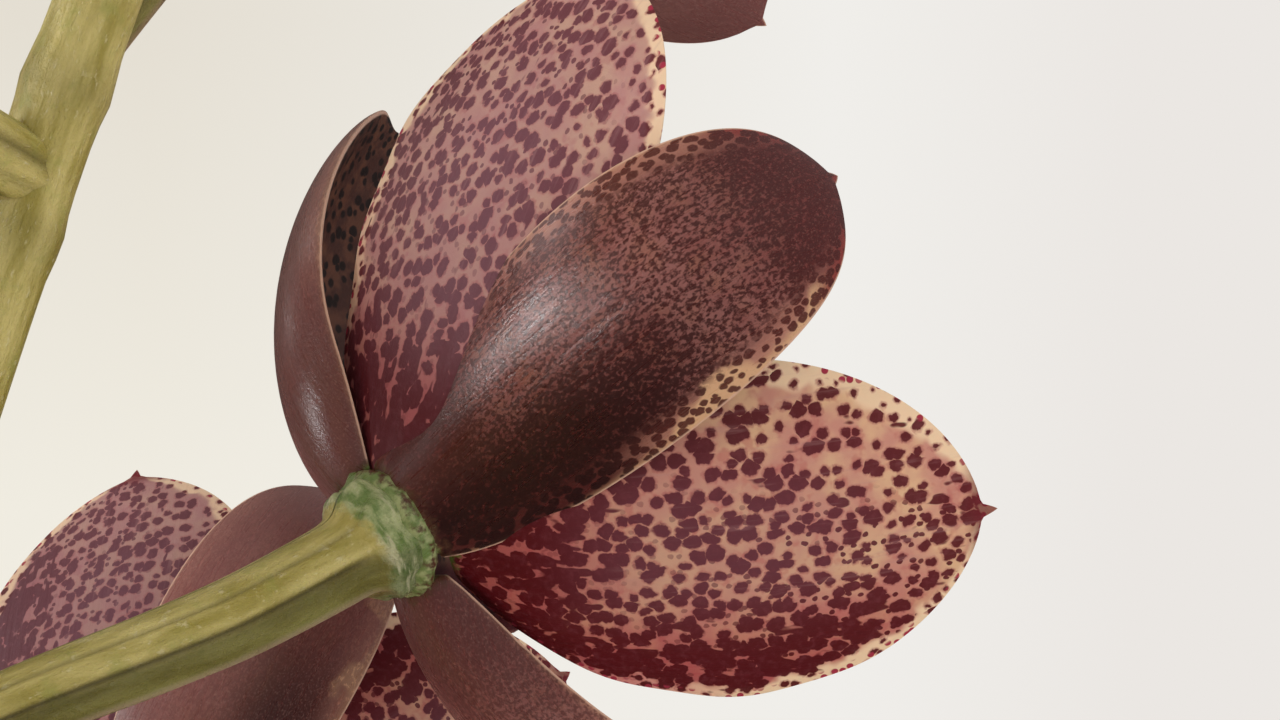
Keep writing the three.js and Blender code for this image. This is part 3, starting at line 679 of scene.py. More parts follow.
def common_tepals(draw):
    """One segment above, and on each hand a petal and a lower sepal."""
    def vary(value, spread):
        return value + spread * (2 * draw() - 1)

    def segment(base, side, turn, bend, roll, angles, length, **more):
        return {
            **base, "turn": side * vary(*turn), "bend": side * vary(*bend), "roll": side * vary(*roll),
            "open": [vary(angle, 4) for angle in angles], "length": vary(length, 1.2), **more}

    made = [segment(SEPAL, 1, (0, 4), (0, 6), (0, 4), (58, 60, -10), 36,
                    half=8.4, swell=[0.45, 0.42], cup=48)]
    for side in (-1, 1):
        made.append(segment(PETAL, side, (43, 3), (-3, 4), (6, 4), (70, 45, 32), 35.5,
                            half=11.6, swell=[0.75, 0.58], cup=22, hand=-side))
        made.append(segment(SEPAL, side, (114, 4), (2, 4), (18, 8), (94, 50, 24), 37,
                            half=8, swell=[0.5, 0.45], cup=60, hand=0.3 * side, plain=0.6))
    return made


# %% [markdown]
# Where each bloom sits: the height at which its stalk leaves the stem, the place of its foot, the
# way it faces and the way its upper sepal points. Most go round the stem at their own angle.

# %% Stem course and places of the blooms
STEM_PLACES = [
    [19, 3, 84], [23.5, 3, 108], [36, 1, 165], [56, -2, 215], [70, -3, 260],
    [78.5, -3, 290], [95.5, -1, 341], [110, 1, 376], [124, 3, 402]]
stem_line = course(STEM_PLACES, 400)
STALK_LENGTH = 36


def stem_at(height):
    """The stem's middle at that height."""
    return np.array([np.interp(height, stem_line[:, 2], stem_line[:, k]) for k in range(3)])


def bloom_round(height, direction, rise=22, tilt=18):
    """A bloom whose stalk leaves the stem at this height and in this direction, rising by one
    angle, and which faces outwards and up by another."""
    direction, rise, tilt = np.radians([direction, rise, tilt])
    out = np.array([np.cos(direction), np.sin(direction), 0])
    up = np.array([0, 0, 1.0])
    foot = stem_at(height) + STALK_LENGTH * (out * np.cos(rise) + up * np.sin(rise))
    return {"height": height, "foot": foot, "faces": out * np.cos(tilt) + up * np.sin(tilt), "upper": up}


def bloom_as_seen(height, foot, faces, upper):
    """A bloom at a place and turn of its own."""
    return {"height": height, "foot": np.array(foot, float), "faces": unit(np.array(faces)),
            "upper": np.array(upper)}


LEADING = bloom_as_seen(290, LOOKED_AT, [0.696, 0.605, 0.386], [0.414, -0.778, 0.473])
BLOOMS = [
    bloom_round(212, 340),
    bloom_round(226, 40, 12),
    bloom_round(244, 264),
    bloom_as_seen(250, [87.5, 29, 276], [0.15, 0.98, 0.1], [0.38, -0.2, 0.9]),
    bloom_round(273, 192),
    LEADING,
    bloom_round(307, 142),
    bloom_round(324, 246),
    bloom_as_seen(332, [105.5, 23, 356.5], [0.35, 0.9, 0.25], [0.38, -0.2, 0.9]),
    bloom_round(359, 178),
]


def axes_of(bloom):
    """The bloom's own directions as columns: across, towards its upper sepal, and forwards."""
    forwards = bloom["faces"]
    upper = unit(bloom["upper"] - forwards * (bloom["upper"] @ forwards))
    return np.stack([np.cross(upper, forwards), upper, forwards], axis=-1)


# %% [markdown]
# Each bloom's five segments sit on a small receptacle and grew as one piece with it. The bloom in
# front of the camera has the finest grid, its two neighbours in the picture a middling one.

# %% Build the tepals
LEFT_NEIGHBOUR = 4
UPPER_NEIGHBOUR = 9
RECEPTACLE_RADIUS = 4.4
RECEPTACLE_HALF = 1.2


def receptacle(seed):
    """A flattened button: a half circle of radii, drawn out sideways and carried round."""
    lift = np.linspace(-1, 1, 13)[1:-1]
    radius = RECEPTACLE_RADIUS * np.sqrt(1 - lift ** 2) ** 0.7
    line = lift[:, None] * [0, 0, RECEPTACLE_HALF]
    rings = tube(line, radius[:, None], 32)
    rings *= (1 + 0.03 * ripple(rings, 1.6, seed))[..., None]
    return skin(rings, {"flat": rings + [0, 0, seed], "edge": 3, "foot": 4 - np.abs(lift)[:, None]})


for number, bloom in enumerate(BLOOMS, start=1):
    leading = bloom is LEADING
    tepals = LEADING_TEPALS if leading else common_tepals(seeded(99 + number))
    # These plain marks give the neighbours' sepals the greyer, partly painted-light tone and a petal the
    # painted sheen veil.
    if number == LEFT_NEIGHBOUR:
        tepals = [{**tepal, "plain": int(k < 2), "hand": abs(tepal["hand"])}
                  for k, tepal in enumerate(tepals)]
    if number == UPPER_NEIGHBOUR:
        tepals = [{**tepal, "plain": int("wave" not in tepal)} for tepal in tepals]
    beside = number in (LEFT_NEIGHBOUR, UPPER_NEIGHBOUR)
    rows, around = (108, 92) if leading else (64, 56) if beside else (40, 40)
    parts = [
        blade(tepal, rows, around, seed=number + 0.37 * k, finish=int("wave" in tepal))
        for k, tepal in enumerate(tepals)]
    parts.append(receptacle(number))
    name = f"bloom_{number}_tepals"
    piece(f"{name}_fine", [moved(p, axes_of(bloom), bloom["foot"]) for p in parts],
          [sepal_skin, petal_skin], [name])

# %% [markdown]
# Inside each bloom are the lip and the column, which the photograph doesn't show. The lip is a
# thick blade with its sides rolled back and a paler throat. The column is a stout club with a cap
# and a beak at its end.

# %% Lip and column
LIP = {
    "turn": 180, "start": 3.8, "open": [42, 26, 78], "length": 24, "half": 9, "swell": [1.1, 0.5],
    "cup": -62, "flatten": 0.2, "thick": 2, "point": 1.2, "wave": 0.35}
COLUMN_PLACES = [[0, 0.8, 1.5], [0, 0.8, 3.2], [0, 1.4, 7], [0, 1.0, 12], [0, -0.8, 16]]
COLUMN_RADII = [1.9, 2, 2.2, 2.6, 2.9, 2.7, 1.2]


def lip_finish():
    f = Finish("lip_skin")
    flat = f.mark("flat")
    across = abs(f.mark("across"))
    along = f.mark("along")
    clouds = f.noise(flat, 0.35, 4.0)
    colour = f.blend(f.between(clouds, 0.35, 0.65), "#3c0f18", "#641b28")
    throat = f.between(across, 0.55, 0.1) * f.between(along, 0.6, 0.15)
    colour = f.blend(throat * 0.8, colour, "#c79a5b")
    spots = f.spots(f.warped(flat, 1.6, 0.5), 1.1, 0.45, 0.05)
    colour = f.blend(spots * 0.8, colour, "#35080f")
    rim = f.between(f.mark("edge"), 0.7, 0.2)
    colour = f.blend(rim * 0.5, colour, "#8f3b45")
    relief = f.bump(f.noise(flat * (4.0, 0.8, 1.0), 0.8, 4.0), 0.00008)
    return f.finish(colour=colour, roughness=f.between(clouds, 0.3, 0.7, 0.3, 0.44), normal=relief,
                    specular=0.5, coat_weight=0.15, coat_roughness=0.3)


def column_finish():
    f = Finish("column_skin")
    place = f.place()
    clouds = f.noise(place, 180.0, 3.0)
    colour = f.blend(f.between(clouds, 0.35, 0.65), "#c8b184", "#b8935f")
    specks = f.spots(f.warped(place, 500.0, 0.0008), 1100.0, 0.42, 0.06, "3D")
    colour = f.blend(specks * 0.85, colour, "#6b1f2a")
    relief = f.bump(f.noise(place, 900.0, 3.0), 0.00006)
    return f.finish(colour=colour, roughness=f.between(clouds, 0.3, 0.7, 0.34, 0.46), normal=relief,
                    specular=0.5, subsurface_weight=0.1, subsurface_radius=(1.0, 0.6, 0.35),
                    subsurface_scale=0.0007)


lip_skin = lip_finish()
column_skin = column_finish()
column_line = course(COLUMN_PLACES, 40)
share = np.linspace(0, 1, 40)
column_radius = np.interp(share, np.linspace(0, 1, 7), COLUMN_RADII)
column_radius = np.convolve(np.pad(column_radius, 2, mode="edge"), np.ones(5) / 5, mode="valid")
round_column = turns(28)
wings = 1 + 0.10 * np.exp(-((share[:, None] - 0.6) / 0.25) ** 2) * np.cos(2 * round_column)
cap_seam = 1 - 0.07 * np.exp(-((share[:, None] - 0.8) / 0.03) ** 2)
column_radius = column_radius[:, None] * wings * cap_seam
column_rings = tube(column_line, column_radius, len(round_column), np.array([1.0, 0, 0]))

for number, bloom in enumerate(BLOOMS, start=1):
    lip = blade(LIP, 44, 40, seed=number)
    lip["points"] = lip["points"] + [0, 0, RECEPTACLE_HALF + 0.1]
    lip = moved(lip, axes_of(bloom), bloom["foot"])
    piece(f"bloom_{number}_lip_fine", [lip], [lip_skin], [f"bloom_{number}_lip"])
    column = moved(skin(column_rings - [0, 0, 0.4]), axes_of(bloom), bloom["foot"])
    piece(f"bloom_{number}_column_fine", [column], [column_skin],
          [f"bloom_{number}_column"])

# %% [markdown]
# The flower stem carries the blooms on grooved stalks. Each stalk is the ovary too: seven shallow
# grooves run along it, a thin clear rib stands along its lower side, and it ends in a lumpy green
# collar that laps over the feet of the sepals. A small papery bract sits below each stalk.

# %% Stem, stalks and bracts
STEM_ROOT_RADIUS = 4.4
STEM_TIP_RADIUS = 1.7
STALK_RADIUS = 2.1
STALK_SWELLING = 0.6
COLLAR_RADIUS = 3.9
LEADING_STALK = np.array([
    [-28.5, -19, -13], [-19.5, -14.8, -8.8], [-12.2, -10, -6.1], [-7.6, -6, -4.2],
    [-2.4, -2, -1.45]])
# direction, depth and half width of each groove
GROOVES = np.array([
    [0.72, 0.08, 0.07], [1.5, 0.13, 0.10], [1.62, 0.05, 0.3], [3.0, 0.10, 0.2],
    [3.9, 0.06, 0.16], [4.7, 0.12, 0.2], [5.6, 0.07, 0.16]])
DARKEST_GROOVE = 0.14
RIB_HEIGHT = 0.12
RIB_DIRECTION = 2.36


def stalk(bloom, rows, around, seed):
    """A tube from the stem to the bloom. Its radius grows a little, and swells near its end by a
    bell curve into the collar. The grooves and one thin rib are bell curves round it, and the
    collar's lumps are a smooth random relief."""
    forwards = bloom["faces"]
    foot = bloom["foot"]
    if bloom is LEADING:
        places = LEADING_STALK + foot
    else:
        start = stem_at(bloom["height"])
        before = foot - 11 * forwards
        places = np.stack([start, start + 0.55 * (before - start) - [0, 0, 1.5], before])
    line = course([*places, foot - 1.5 * forwards], rows)
    run = np.linspace(0, 1, rows)[:, None]
    slender = STALK_RADIUS + STALK_SWELLING * run
    turn = turns(around)[None, :]
    collar = np.exp(-((run - 1) / 0.035) ** 2)
    fading = 1 - np.exp(-((run - 1) / 0.05) ** 2)
    away = (turn - GROOVES[:, 0, None, None] + np.pi) % (2 * np.pi) - np.pi
    bells = GROOVES[:, 1, None, None] * np.exp(-(away / GROOVES[:, 2, None, None]) ** 2)
    grooves = bells.sum(0) * fading
    beside_rib = (turn - RIB_DIRECTION + np.pi) % (2 * np.pi) - np.pi
    rib = RIB_HEIGHT * np.exp(-(beside_rib / 0.06) ** 2) * fading
    radius = (slender + (COLLAR_RADIUS - slender) * collar) * (1 - grooves * 0.8 + rib)
    end = np.array([-1.05, -0.5, -0.05, 0.3])
    line = np.concatenate([line, foot + end[:, None] * forwards])
    closing = np.array([1.0, 0.97, 0.88, 0.6])[:, None] * COLLAR_RADIUS * np.ones((1, around))
    radius = np.concatenate([radius, closing])
    rings = tube(line, radius, around, np.array([0.0, 0, 1]))
    near_end = np.concatenate([collar, np.ones((4, 1))])
    lumps = ripple(rings, 2.4, seed) * 0.24 + ripple(rings, 1.0, seed + 1) * 0.05
    rings += unit(rings - line[:, None]) * (lumps * near_end)[..., None]
    length = np.linalg.norm(np.diff(line[:rows], axis=0), axis=1).sum()
    reach = np.concatenate([run * length, length + 1.5 + end[:, None]])
    smooth_end = np.zeros((len(end), around))
    return skin(rings, {
        "flat": rolled_out(turn * 2.3, reach, seed),
        "turned": turn,
        "collar": near_end,
        "rib": np.concatenate([rib / RIB_HEIGHT, smooth_end]),
        "groove": np.concatenate([grooves / DARKEST_GROOVE, smooth_end])})


def stem_finish():
    f = Finish("stem_skin")
    flat, collar, rib, groove, bract, turned = f.marks(
        "flat", "collar", "rib", "groove", "bract", "turned")
    long = flat * (1.0, 0.2, 1.0)
    clouds = f.noise(long, 0.7, 4.0)
    colour = f.blend(f.between(clouds, 0.32, 0.68), "#a89a48", "#d9ca80")
    fresh = f.noise(flat, 0.5, 3.0)
    colour = f.blend(f.between(fresh, 0.52, 0.72, 0.0, 0.6), colour, "#a8a856")
    flecks = f.noise(flat * (1.0, 0.5, 1.0), 2.6, 4.0, 0.6)
    colour = f.blend(f.between(flecks, 0.56, 0.70, 0.0, 0.6), colour, "#e0d6a4")
    # The band on the stalk's lower side is a darker olive, partly its own green and partly painted shade
    # where it faces down.
    lower = f.between(turned, 1.45, 1.7) * f.between(turned, 3.6, 3.0)
    shade = f.blend(f.between(clouds, 0.3, 0.7), "#5a5622", "#6c6c30")
    colour = f.blend(lower * 0.8, colour, shade)
    # Painted shade: the grooves are darkened where shade falls in them, and the rings on the main stem
    # are darkened a little the same way.
    colour = f.blend(f.number("MULTIPLY", groove, 0.7, clamp=True), colour, "#423a16")
    colour = f.blend(rib * 0.8, colour, "#a98f78")
    speckled = f.noise(flat, 1.5, 5.0, 0.65)
    lively = f.blend(f.between(f.noise(flat, 1.1, 5.0, 0.6), 0.36, 0.62), "#768e4e", "#bfc592")
    # Painted shade: the collar is darkened on its lower side too.
    lively = f.blend(lower * 0.55, lively, "#3f4c22")
    scars = f.noise(flat * (0.5, 1.4, 1.0), 0.8, 4.0, 0.6)
    lively = f.blend(f.between(scars, 0.53, 0.65, 0.0, 0.65), lively, "#ddd8b4")
    rough_edge = collar + (speckled - 0.5) * 0.9
    colour = f.blend(f.between(rough_edge, 0.35, 0.75), colour, lively)
    dry = f.blend(f.between(clouds, 0.35, 0.65), "#b09a63", "#8f7a48")
    colour = f.blend(bract, colour, dry)
    grain = f.noise(flat * (6.0, 0.7, 1.0), 0.9, 4.0)
    pores = f.noise(flat, 4.0, 3.0)
    relief = f.bump(grain, 0.00008)
    relief = f.bump(flecks, 0.00022, relief)
    relief = f.bump(pores, 0.00005, relief)
    relief = f.bump(speckled * collar, 0.0004, relief)
    return f.finish(colour=colour, roughness=f.between(flecks, 0.3, 0.7, 0.40, 0.24), normal=relief,
                    specular=0.6, subsurface_weight=0.1,
                    subsurface_radius=(0.7, 1.0, 0.3), subsurface_scale=0.0008)


def stem_part():
    """The main stem: a tube that tapers evenly, with a low ring at each bract and faint ridges."""
    rows, around = 260, 40
    line = course(STEM_PLACES, rows)
    run = np.linspace(0, 1, rows)[:, None]
    turn = turns(around)[None, :]
    radius = STEM_ROOT_RADIUS + (STEM_TIP_RADIUS - STEM_ROOT_RADIUS) * run
    heights = np.array([bloom["height"] - 3 for bloom in BLOOMS] + [140, 172, 194])
    ring = np.exp(-((line[:, 2][:, None] - heights) / 1.3) ** 2).sum(1)[:, None]
    radius = radius * (1 + 0.10 * ring + 0.018 * np.cos(7 * turn))
    rings = tube(line, radius, around)
    return skin(rings, {"flat": rolled_out(turn * 3, run * 340, 50), "groove": 0.35 * ring})


BRACT = {
    "open": [20, 40, 50], "length": 11, "half": 2.6, "swell": [0.4, 0.8], "cup": 50,
    "flatten": 0.3, "thick": 0.9, "start": STEM_TIP_RADIUS, "thin_below": 1.5}


def bract_part(height, direction, seed):
    """A small blade that leans out from the stem, dry and brown towards its tip."""
    part = blade({**BRACT, "turn": direction - 90}, 24, 24, seed)
    marks = part["marks"]
    part["marks"] = {"flat": marks["flat"], "bract": 0.35 + 0.65 * marks["along"]}
    return moved(part, np.eye(3), stem_at(height))


def direction_of(bloom):
    """The direction from the stem to the bloom's foot, in degrees."""
    away = bloom["foot"] - stem_at(bloom["height"])
    return np.degrees(np.arctan2(away[1], away[0]))


BUDS = [
    {"height": 374, "direction": 300, "length": 17, "radius": 5.6, "stalk": 15},
    {"height": 386, "direction": 60, "length": 14, "radius": 4.8, "stalk": 12},
    {"height": 396, "direction": 190, "length": 11, "radius": 3.8, "stalk": 9},
]


def bud_axis(bud):
    """Where a bud's stalk leaves the stem, the bud's foot and the way it points."""
    start = stem_at(bud["height"])
    direction = np.radians(bud["direction"])
    out = unit(np.array([np.cos(direction), np.sin(direction), 0.75]))
    return start, start + out * bud["stalk"], out


def bud_stalk(bud, seed):
    """A straight tube that thickens evenly, and turns as green as a collar at its end."""
    start, foot, _ = bud_axis(bud)
    reach = np.linspace(0, 1, 30)[:, None]
    rings = tube(start + reach * (foot - start), 1.2 + 0.5 * reach, 24)
    return skin(rings, {
        "flat": rolled_out(turns(24) * 1.5, reach * bud["stalk"], seed), "collar": reach ** 6})


stem_skin = stem_finish()
stem_parts = [stem_part()]
for number, bloom in enumerate(BLOOMS, start=1):
    rows, around = (190, 120) if bloom is LEADING else (80, 40)
    stem_parts.append(stalk(bloom, rows, around, 60 + number))
    stem_parts.append(bract_part(bloom["height"] - 3, direction_of(bloom), 80 + number))
stem_parts += [bud_stalk(bud, 100 + k) for k, bud in enumerate(BUDS)]
piece("flower_stem_fine", stem_parts, [stem_skin], ["flower_stem"])

# %% [markdown]
# A bud is a closed bloom: three sepals meet edge to edge, so it is a pointed egg with three seams.

# %% Buds
def bud_part(bud):
    """A skin of revolution with radius r sin(pi t)^0.7, pinched along three seams."""
    _, foot, out = bud_axis(bud)
    rows, around = 48, 60
    t = np.linspace(0, 1, rows)[1:-1, None]
    turn = turns(around)[None, :]
    seams = 1 - 0.09 * np.exp(-(np.sin(1.5 * turn) / 0.16) ** 2) * np.sin(np.pi * t)
    radius = bud["radius"] * np.sin(np.pi * t) ** 0.7 * seams
    line = foot + t * bud["length"] * out
    rings = tube(line, radius, around)
    return skin(rings, {
        "flat": rolled_out(turn * bud["radius"], t * bud["length"], bud["height"]),
        "seam": np.exp(-(np.sin(1.5 * turn) / 0.10) ** 2),
        "along": t})


def bud_finish():
    f = Finish("bud_skin")
    flat, along, seam = f.marks("flat", "along", "seam")
    broad = f.noise(flat, 0.2, 3.0)
    colour = f.blend(f.between(broad, 0.38, 0.62), "#6f4438", "#8a6248")
    colour = f.blend(f.between(along, 0.3, 0.0), colour, "#7d8648")
    specks = f.spots(f.warped(flat, 2.0, 0.3), 1.5, 0.5, 0.06)
    colour = f.blend(specks * 0.7, colour, "#472226")
    colour = f.blend(seam * 0.4, colour, "#a98c5c")
    relief = f.bump(f.noise(flat * (5.0, 0.8, 1.0), 0.9, 4.0), 0.00008)
    return f.finish(colour=colour, roughness=f.between(broad, 0.3, 0.7, 0.32, 0.46), normal=relief,
                    specular=0.5, coat_weight=0.12, coat_roughness=0.3)


bud_skin = bud_finish()
for number, bud in enumerate(BUDS, start=1):
    piece(f"bud_{number}_fine", [bud_part(bud)], [bud_skin], [f"bud_{number}"])

# %% [markdown]
# The pseudobulbs store water: spindles with a scar ring at each old leaf joint. The leading one is
# smooth and carries the leaves, and the older ones have shrunk into lengthwise wrinkles. They
# stand on one short rhizome, mostly sunk in the bark.

# %% Pseudobulbs
BULBS = [
    {"x": -2, "y": 0, "lean": 0, "towards": 0, "radius": 18, "height": 142, "neck": 6.5, "age": 0.0},
    {"x": -36, "y": 8, "lean": 7, "towards": 170, "radius": 15, "height": 112, "neck": 4, "age": 0.6},
    {"x": -24, "y": -31, "lean": 9, "towards": 235, "radius": 14, "height": 98, "neck": 3.5, "age": 0.8},
    {"x": -14, "y": 35, "lean": 9, "towards": 105, "radius": 13.5, "height": 90, "neck": 3.5, "age": 1.0},
]
BULB_FOOT = 90
BULB_GIRTH = 15  # the radius at which the bulbs' patterns are rolled out
RHIZOME_RADIUS = 4.8
BULB_JOINTS = np.array([0.2, 0.4, 0.6, 0.8])


def bulb_radius(bulb, t):
    """The neck's radius plus a spindle: sin(pi (0.16 + 0.84 t))^0.9, pinched at each joint."""
    spindle = np.sin(np.pi * (0.16 + 0.84 * t)).clip(0) ** 0.9
    joint = np.where((t > 0.12) & (t < 0.9), 0.05 * np.abs(np.sin(np.pi * 5 * t)), 0.04)
    return bulb["neck"] + (bulb["radius"] - bulb["neck"]) * spindle * (0.95 + joint) ** 2


def bulb_axes(bulb):
    """Upright axes, turned by the bulb's lean towards its direction."""
    lean, towards = np.radians([bulb["lean"], bulb["towards"]])
    out = np.array([np.cos(towards), np.sin(towards), 0])
    up = np.array([0, 0, 1.0])
    aside = np.cross(up, out)
    return np.stack([out * np.cos(lean) - up * np.sin(lean), aside,
                     out * np.sin(lean) + up * np.cos(lean)], axis=-1)


def planted(part, bulb):
    """The part carried to the bulb's foot, leaning as the bulb does."""
    return moved(part, bulb_axes(bulb), np.array([bulb["x"], bulb["y"], BULB_FOOT], float))


def bulb_part(bulb, seed):
    """A skin of revolution with a narrow raised ring at each joint, and wrinkles on an old bulb."""
    rows, around = 144, 84
    t = np.linspace(0, 1, rows)[:, None]
    turn = turns(around)[None, :]
    radius = bulb_radius(bulb, t) * np.minimum(0.75 + t * 8, 1)
    scar = np.exp(-((t - BULB_JOINTS) * bulb["height"] / 0.7) ** 2).sum(1, keepdims=True)
    wrinkle = ripple(revolved(1, turn, t * 0.5) * 10, 5.0, seed, 24)
    shrunk = bulb["age"] * 0.045 + 0.008
    radius = radius * (1 + shrunk * wrinkle * np.sin(np.pi * t) ** 0.5) + 0.45 * scar
    top = np.linspace(0, 1, 12)[1:, None]
    heights = np.concatenate([t, 1 + top * 4.8 / bulb["height"]])
    radius = np.concatenate([radius, radius[-1:] * np.sqrt(1 - (top * 0.97) ** 2)])
    upwards = heights * bulb["height"]
    return planted(skin(revolved(radius, turn, upwards), {
        "flat": rolled_out(turn * BULB_GIRTH, upwards, seed),
        "joint": np.concatenate([scar, np.ones_like(top)]),
        "age": bulb["age"]}), bulb)


def rhizome_part(bulb):
    """A straight tube in the bark from the leading bulb to another."""
    lead = BULBS[0]
    ends = np.array([[lead["x"], lead["y"], BULB_FOOT + 6], [bulb["x"], bulb["y"], BULB_FOOT + 6]], float)
    run = np.linspace(0, 1, 20)[:, None]
    rings = tube(ends[0] + run * (ends[1] - ends[0]), RHIZOME_RADIUS, 24)
    return skin(rings, {"flat": rings, "age": 1})


def bulb_finish():
    f = Finish("bulb_skin")
    flat, age, joint = f.marks("flat", "age", "joint")
    long = flat * (1.0, 0.12, 1.0)
    streaks = f.noise(long, 0.5, 5.0)
    clouds = f.noise(flat, 0.06, 4.0)
    young = f.blend(f.between(streaks, 0.35, 0.65), "#75893f", "#93a35a")
    old = f.blend(f.between(streaks, 0.35, 0.65), "#8a8c4c", "#a8a068")
    colour = f.blend(age, young, old)
    colour = f.blend(f.between(clouds, 0.55, 0.75, 0.0, 0.5), colour, "#6c7236")
    marks = f.spots(f.warped(flat, 0.5, 1.0), 0.35, 0.16, 0.04)
    colour = f.blend(marks * 0.55, colour, "#5a4a2a")
    dry = f.blend(f.between(f.noise(flat, 1.4, 4.0), 0.4, 0.6), "#8f7a4e", "#c2ae80")
    colour = f.blend(f.between(joint, 0.2, 0.75), colour, dry)
    fine = f.noise(flat * (2.5, 0.15, 1.0), 1.0, 5.0)
    relief = f.bump(fine, 0.0003)
    relief = f.bump(f.noise(flat, 3.0, 3.0), 0.00008, relief)
    return f.finish(colour=colour, roughness=f.between(streaks, 0.3, 0.7, 0.38, 0.55), normal=relief,
                    specular=0.45, subsurface_weight=0.06, subsurface_radius=(0.6, 1.0, 0.3),
                    subsurface_scale=0.002)


bulb_skin = bulb_finish()
bulb_parts = [bulb_part(bulb, 20 + k) for k, bulb in enumerate(BULBS)]
bulb_parts += [rhizome_part(bulb) for bulb in BULBS[1:]]
piece("pseudobulbs_fine", bulb_parts, [bulb_skin], ["pseudobulbs"])

# %% [markdown]
# Old leaf bases stay on the bulbs as dry, papery sheaths, split and ragged at the top. Each is a
# thin wall a little proud of the bulb, and its upper edge is cut by a random outline.

# %% Papery sheaths
SHEATH_GAP = 0.55
SHEATH_THICK = 0.25
SHEATH_FLARE = 0.9
NO_FANS = np.zeros((0, 3), int)


def loop_skin(rings, marks):
    """Faces between neighbouring rings, and between the last ring and the first, as round a hoop."""
    count, around = rings.shape[:2]
    row = (np.arange(count) * around)[:, None]
    below = ((np.arange(count) + 1) % count * around)[:, None]
    here = np.arange(around)
    after = (here + 1) % around
    quads = np.stack(np.broadcast_arrays(row + here, row + after, below + after, below + here),
                     axis=-1).reshape(-1, 4)
    points = rings.reshape(-1, 3)
    a, b, c, d = (points[quads[:, k]] for k in range(4))
    volume = (a * np.cross(b, c)).sum() + (a * np.cross(c, d)).sum()
    quads = quads if volume > 0 else quads[:, ::-1]
    full = {name: spread(values, count, around) for name, values in marks.items()}
    return {"points": points, "quads": quads, "fans": NO_FANS, "marks": full, "finish": 0}


def sheath_part(bulb, low, high, seed):
    """A thin wall round the bulb from low to high, as shares of its height. The upper edge is
    dropped by a random amount at each direction, and the wall flares a little towards it."""
    rows, around = 26, 120
    turn = turns(around)
    ring = revolved(1, turn, 0)
    torn = 0.5 + 0.5 * ripple(ring * 10, 9.0, seed, 20) + 0.25 * ripple(ring * 10, 2.2, seed + 1, 20)
    top = high - (high - low) * np.clip(torn, 0.05, 0.85)
    s = np.linspace(0, 1, rows)[:, None]
    t = low + (top[None, :] - low) * s
    crease = ripple(np.broadcast_to(ring * 14, (rows, around, 3)), 3.0, seed + 2, 20) * 0.22
    radius = bulb_radius(bulb, t) + SHEATH_GAP + SHEATH_FLARE * s ** 3 + crease * s ** 0.5
    outer = revolved(radius, turn, t * bulb["height"])
    inner = outer - unit(outer * [1, 1, 0]) * SHEATH_THICK
    rings = np.concatenate([outer, inner[::-1]])
    return planted(loop_skin(rings, {
        "flat": rolled_out(turn * BULB_GIRTH, rings[..., 2], seed),
        "torn": np.concatenate([s, s[::-1]])}), bulb)


def sheath_finish():
    f = Finish("dry_sheath")
    flat, torn = f.marks("flat", "torn")
    fibres = f.noise(flat * (2.2, 0.08, 1.0), 1.0, 5.0)
    clouds = f.noise(flat, 0.12, 4.0)
    colour = f.blend(f.between(fibres, 0.35, 0.65), "#a58a5a", "#d6c296")
    colour = f.blend(f.between(clouds, 0.5, 0.75, 0.0, 0.7), colour, "#7a5c38")
    colour = f.blend(torn * 0.35, colour, "#e2d3ae")
    relief = f.bump(fibres, 0.0004)
    relief = f.bump(f.noise(flat, 1.5, 4.0), 0.0002, relief)
    return f.finish(colour=colour, roughness=f.between(fibres, 0.3, 0.7, 0.6, 0.8), normal=relief,
                    specular=0.3)


dry_sheath = sheath_finish()
SHEATHS = [(0, 0.09, 0.30), (0, 0.20, 0.47), (1, 0.09, 0.34), (1, 0.20, 0.55), (1, 0.60, 0.88),
           (2, 0.09, 0.36), (2, 0.40, 0.72), (3, 0.09, 0.42), (3, 0.60, 0.93)]
sheath_parts = [sheath_part(BULBS[b], low, high, 200 + 3 * k) for k, (b, low, high) in enumerate(SHEATHS)]
piece("bulb_sheaths", sheath_parts, [dry_sheath])

# %% [markdown]
# The leaves are thin, pleated blades in two ranks that arch out from the top of the leading bulb.
# The pleats are a cosine across the blade, strongest in its middle, and fine veins run between
# them. Each leaf clasps the bulb's neck at its foot.

# %% Leaves
LEAF_GAP = 0.5
VEIN_PITCH = 100.0  # the angle that the veins' sine wave runs through from midrib to margin
LEAF = {"length": 225, "half": 27, "thick": 0.9, "pleat": 1.5, "ribs": 4, "point": 3, "spur": 0.7}
LEAVES = [
    {"height": 184, "direction": 96, "open": [14, 62, 128], "length": 0.86, "half": 0.84},
    {"height": 194, "direction": -84, "open": [12, 56, 122], "length": 0.94, "half": 0.92},
    {"height": 204, "direction": 112, "open": [11, 48, 108], "length": 1, "half": 1},
    {"height": 212, "direction": -103, "open": [10, 42, 104], "length": 1.02, "half": 1},
    {"height": 219, "direction": 84, "open": [9, 35, 86], "length": 0.98, "half": 0.94},
    {"height": 225, "direction": -118, "open": [7, 26, 70], "length": 0.86, "half": 0.82},
]


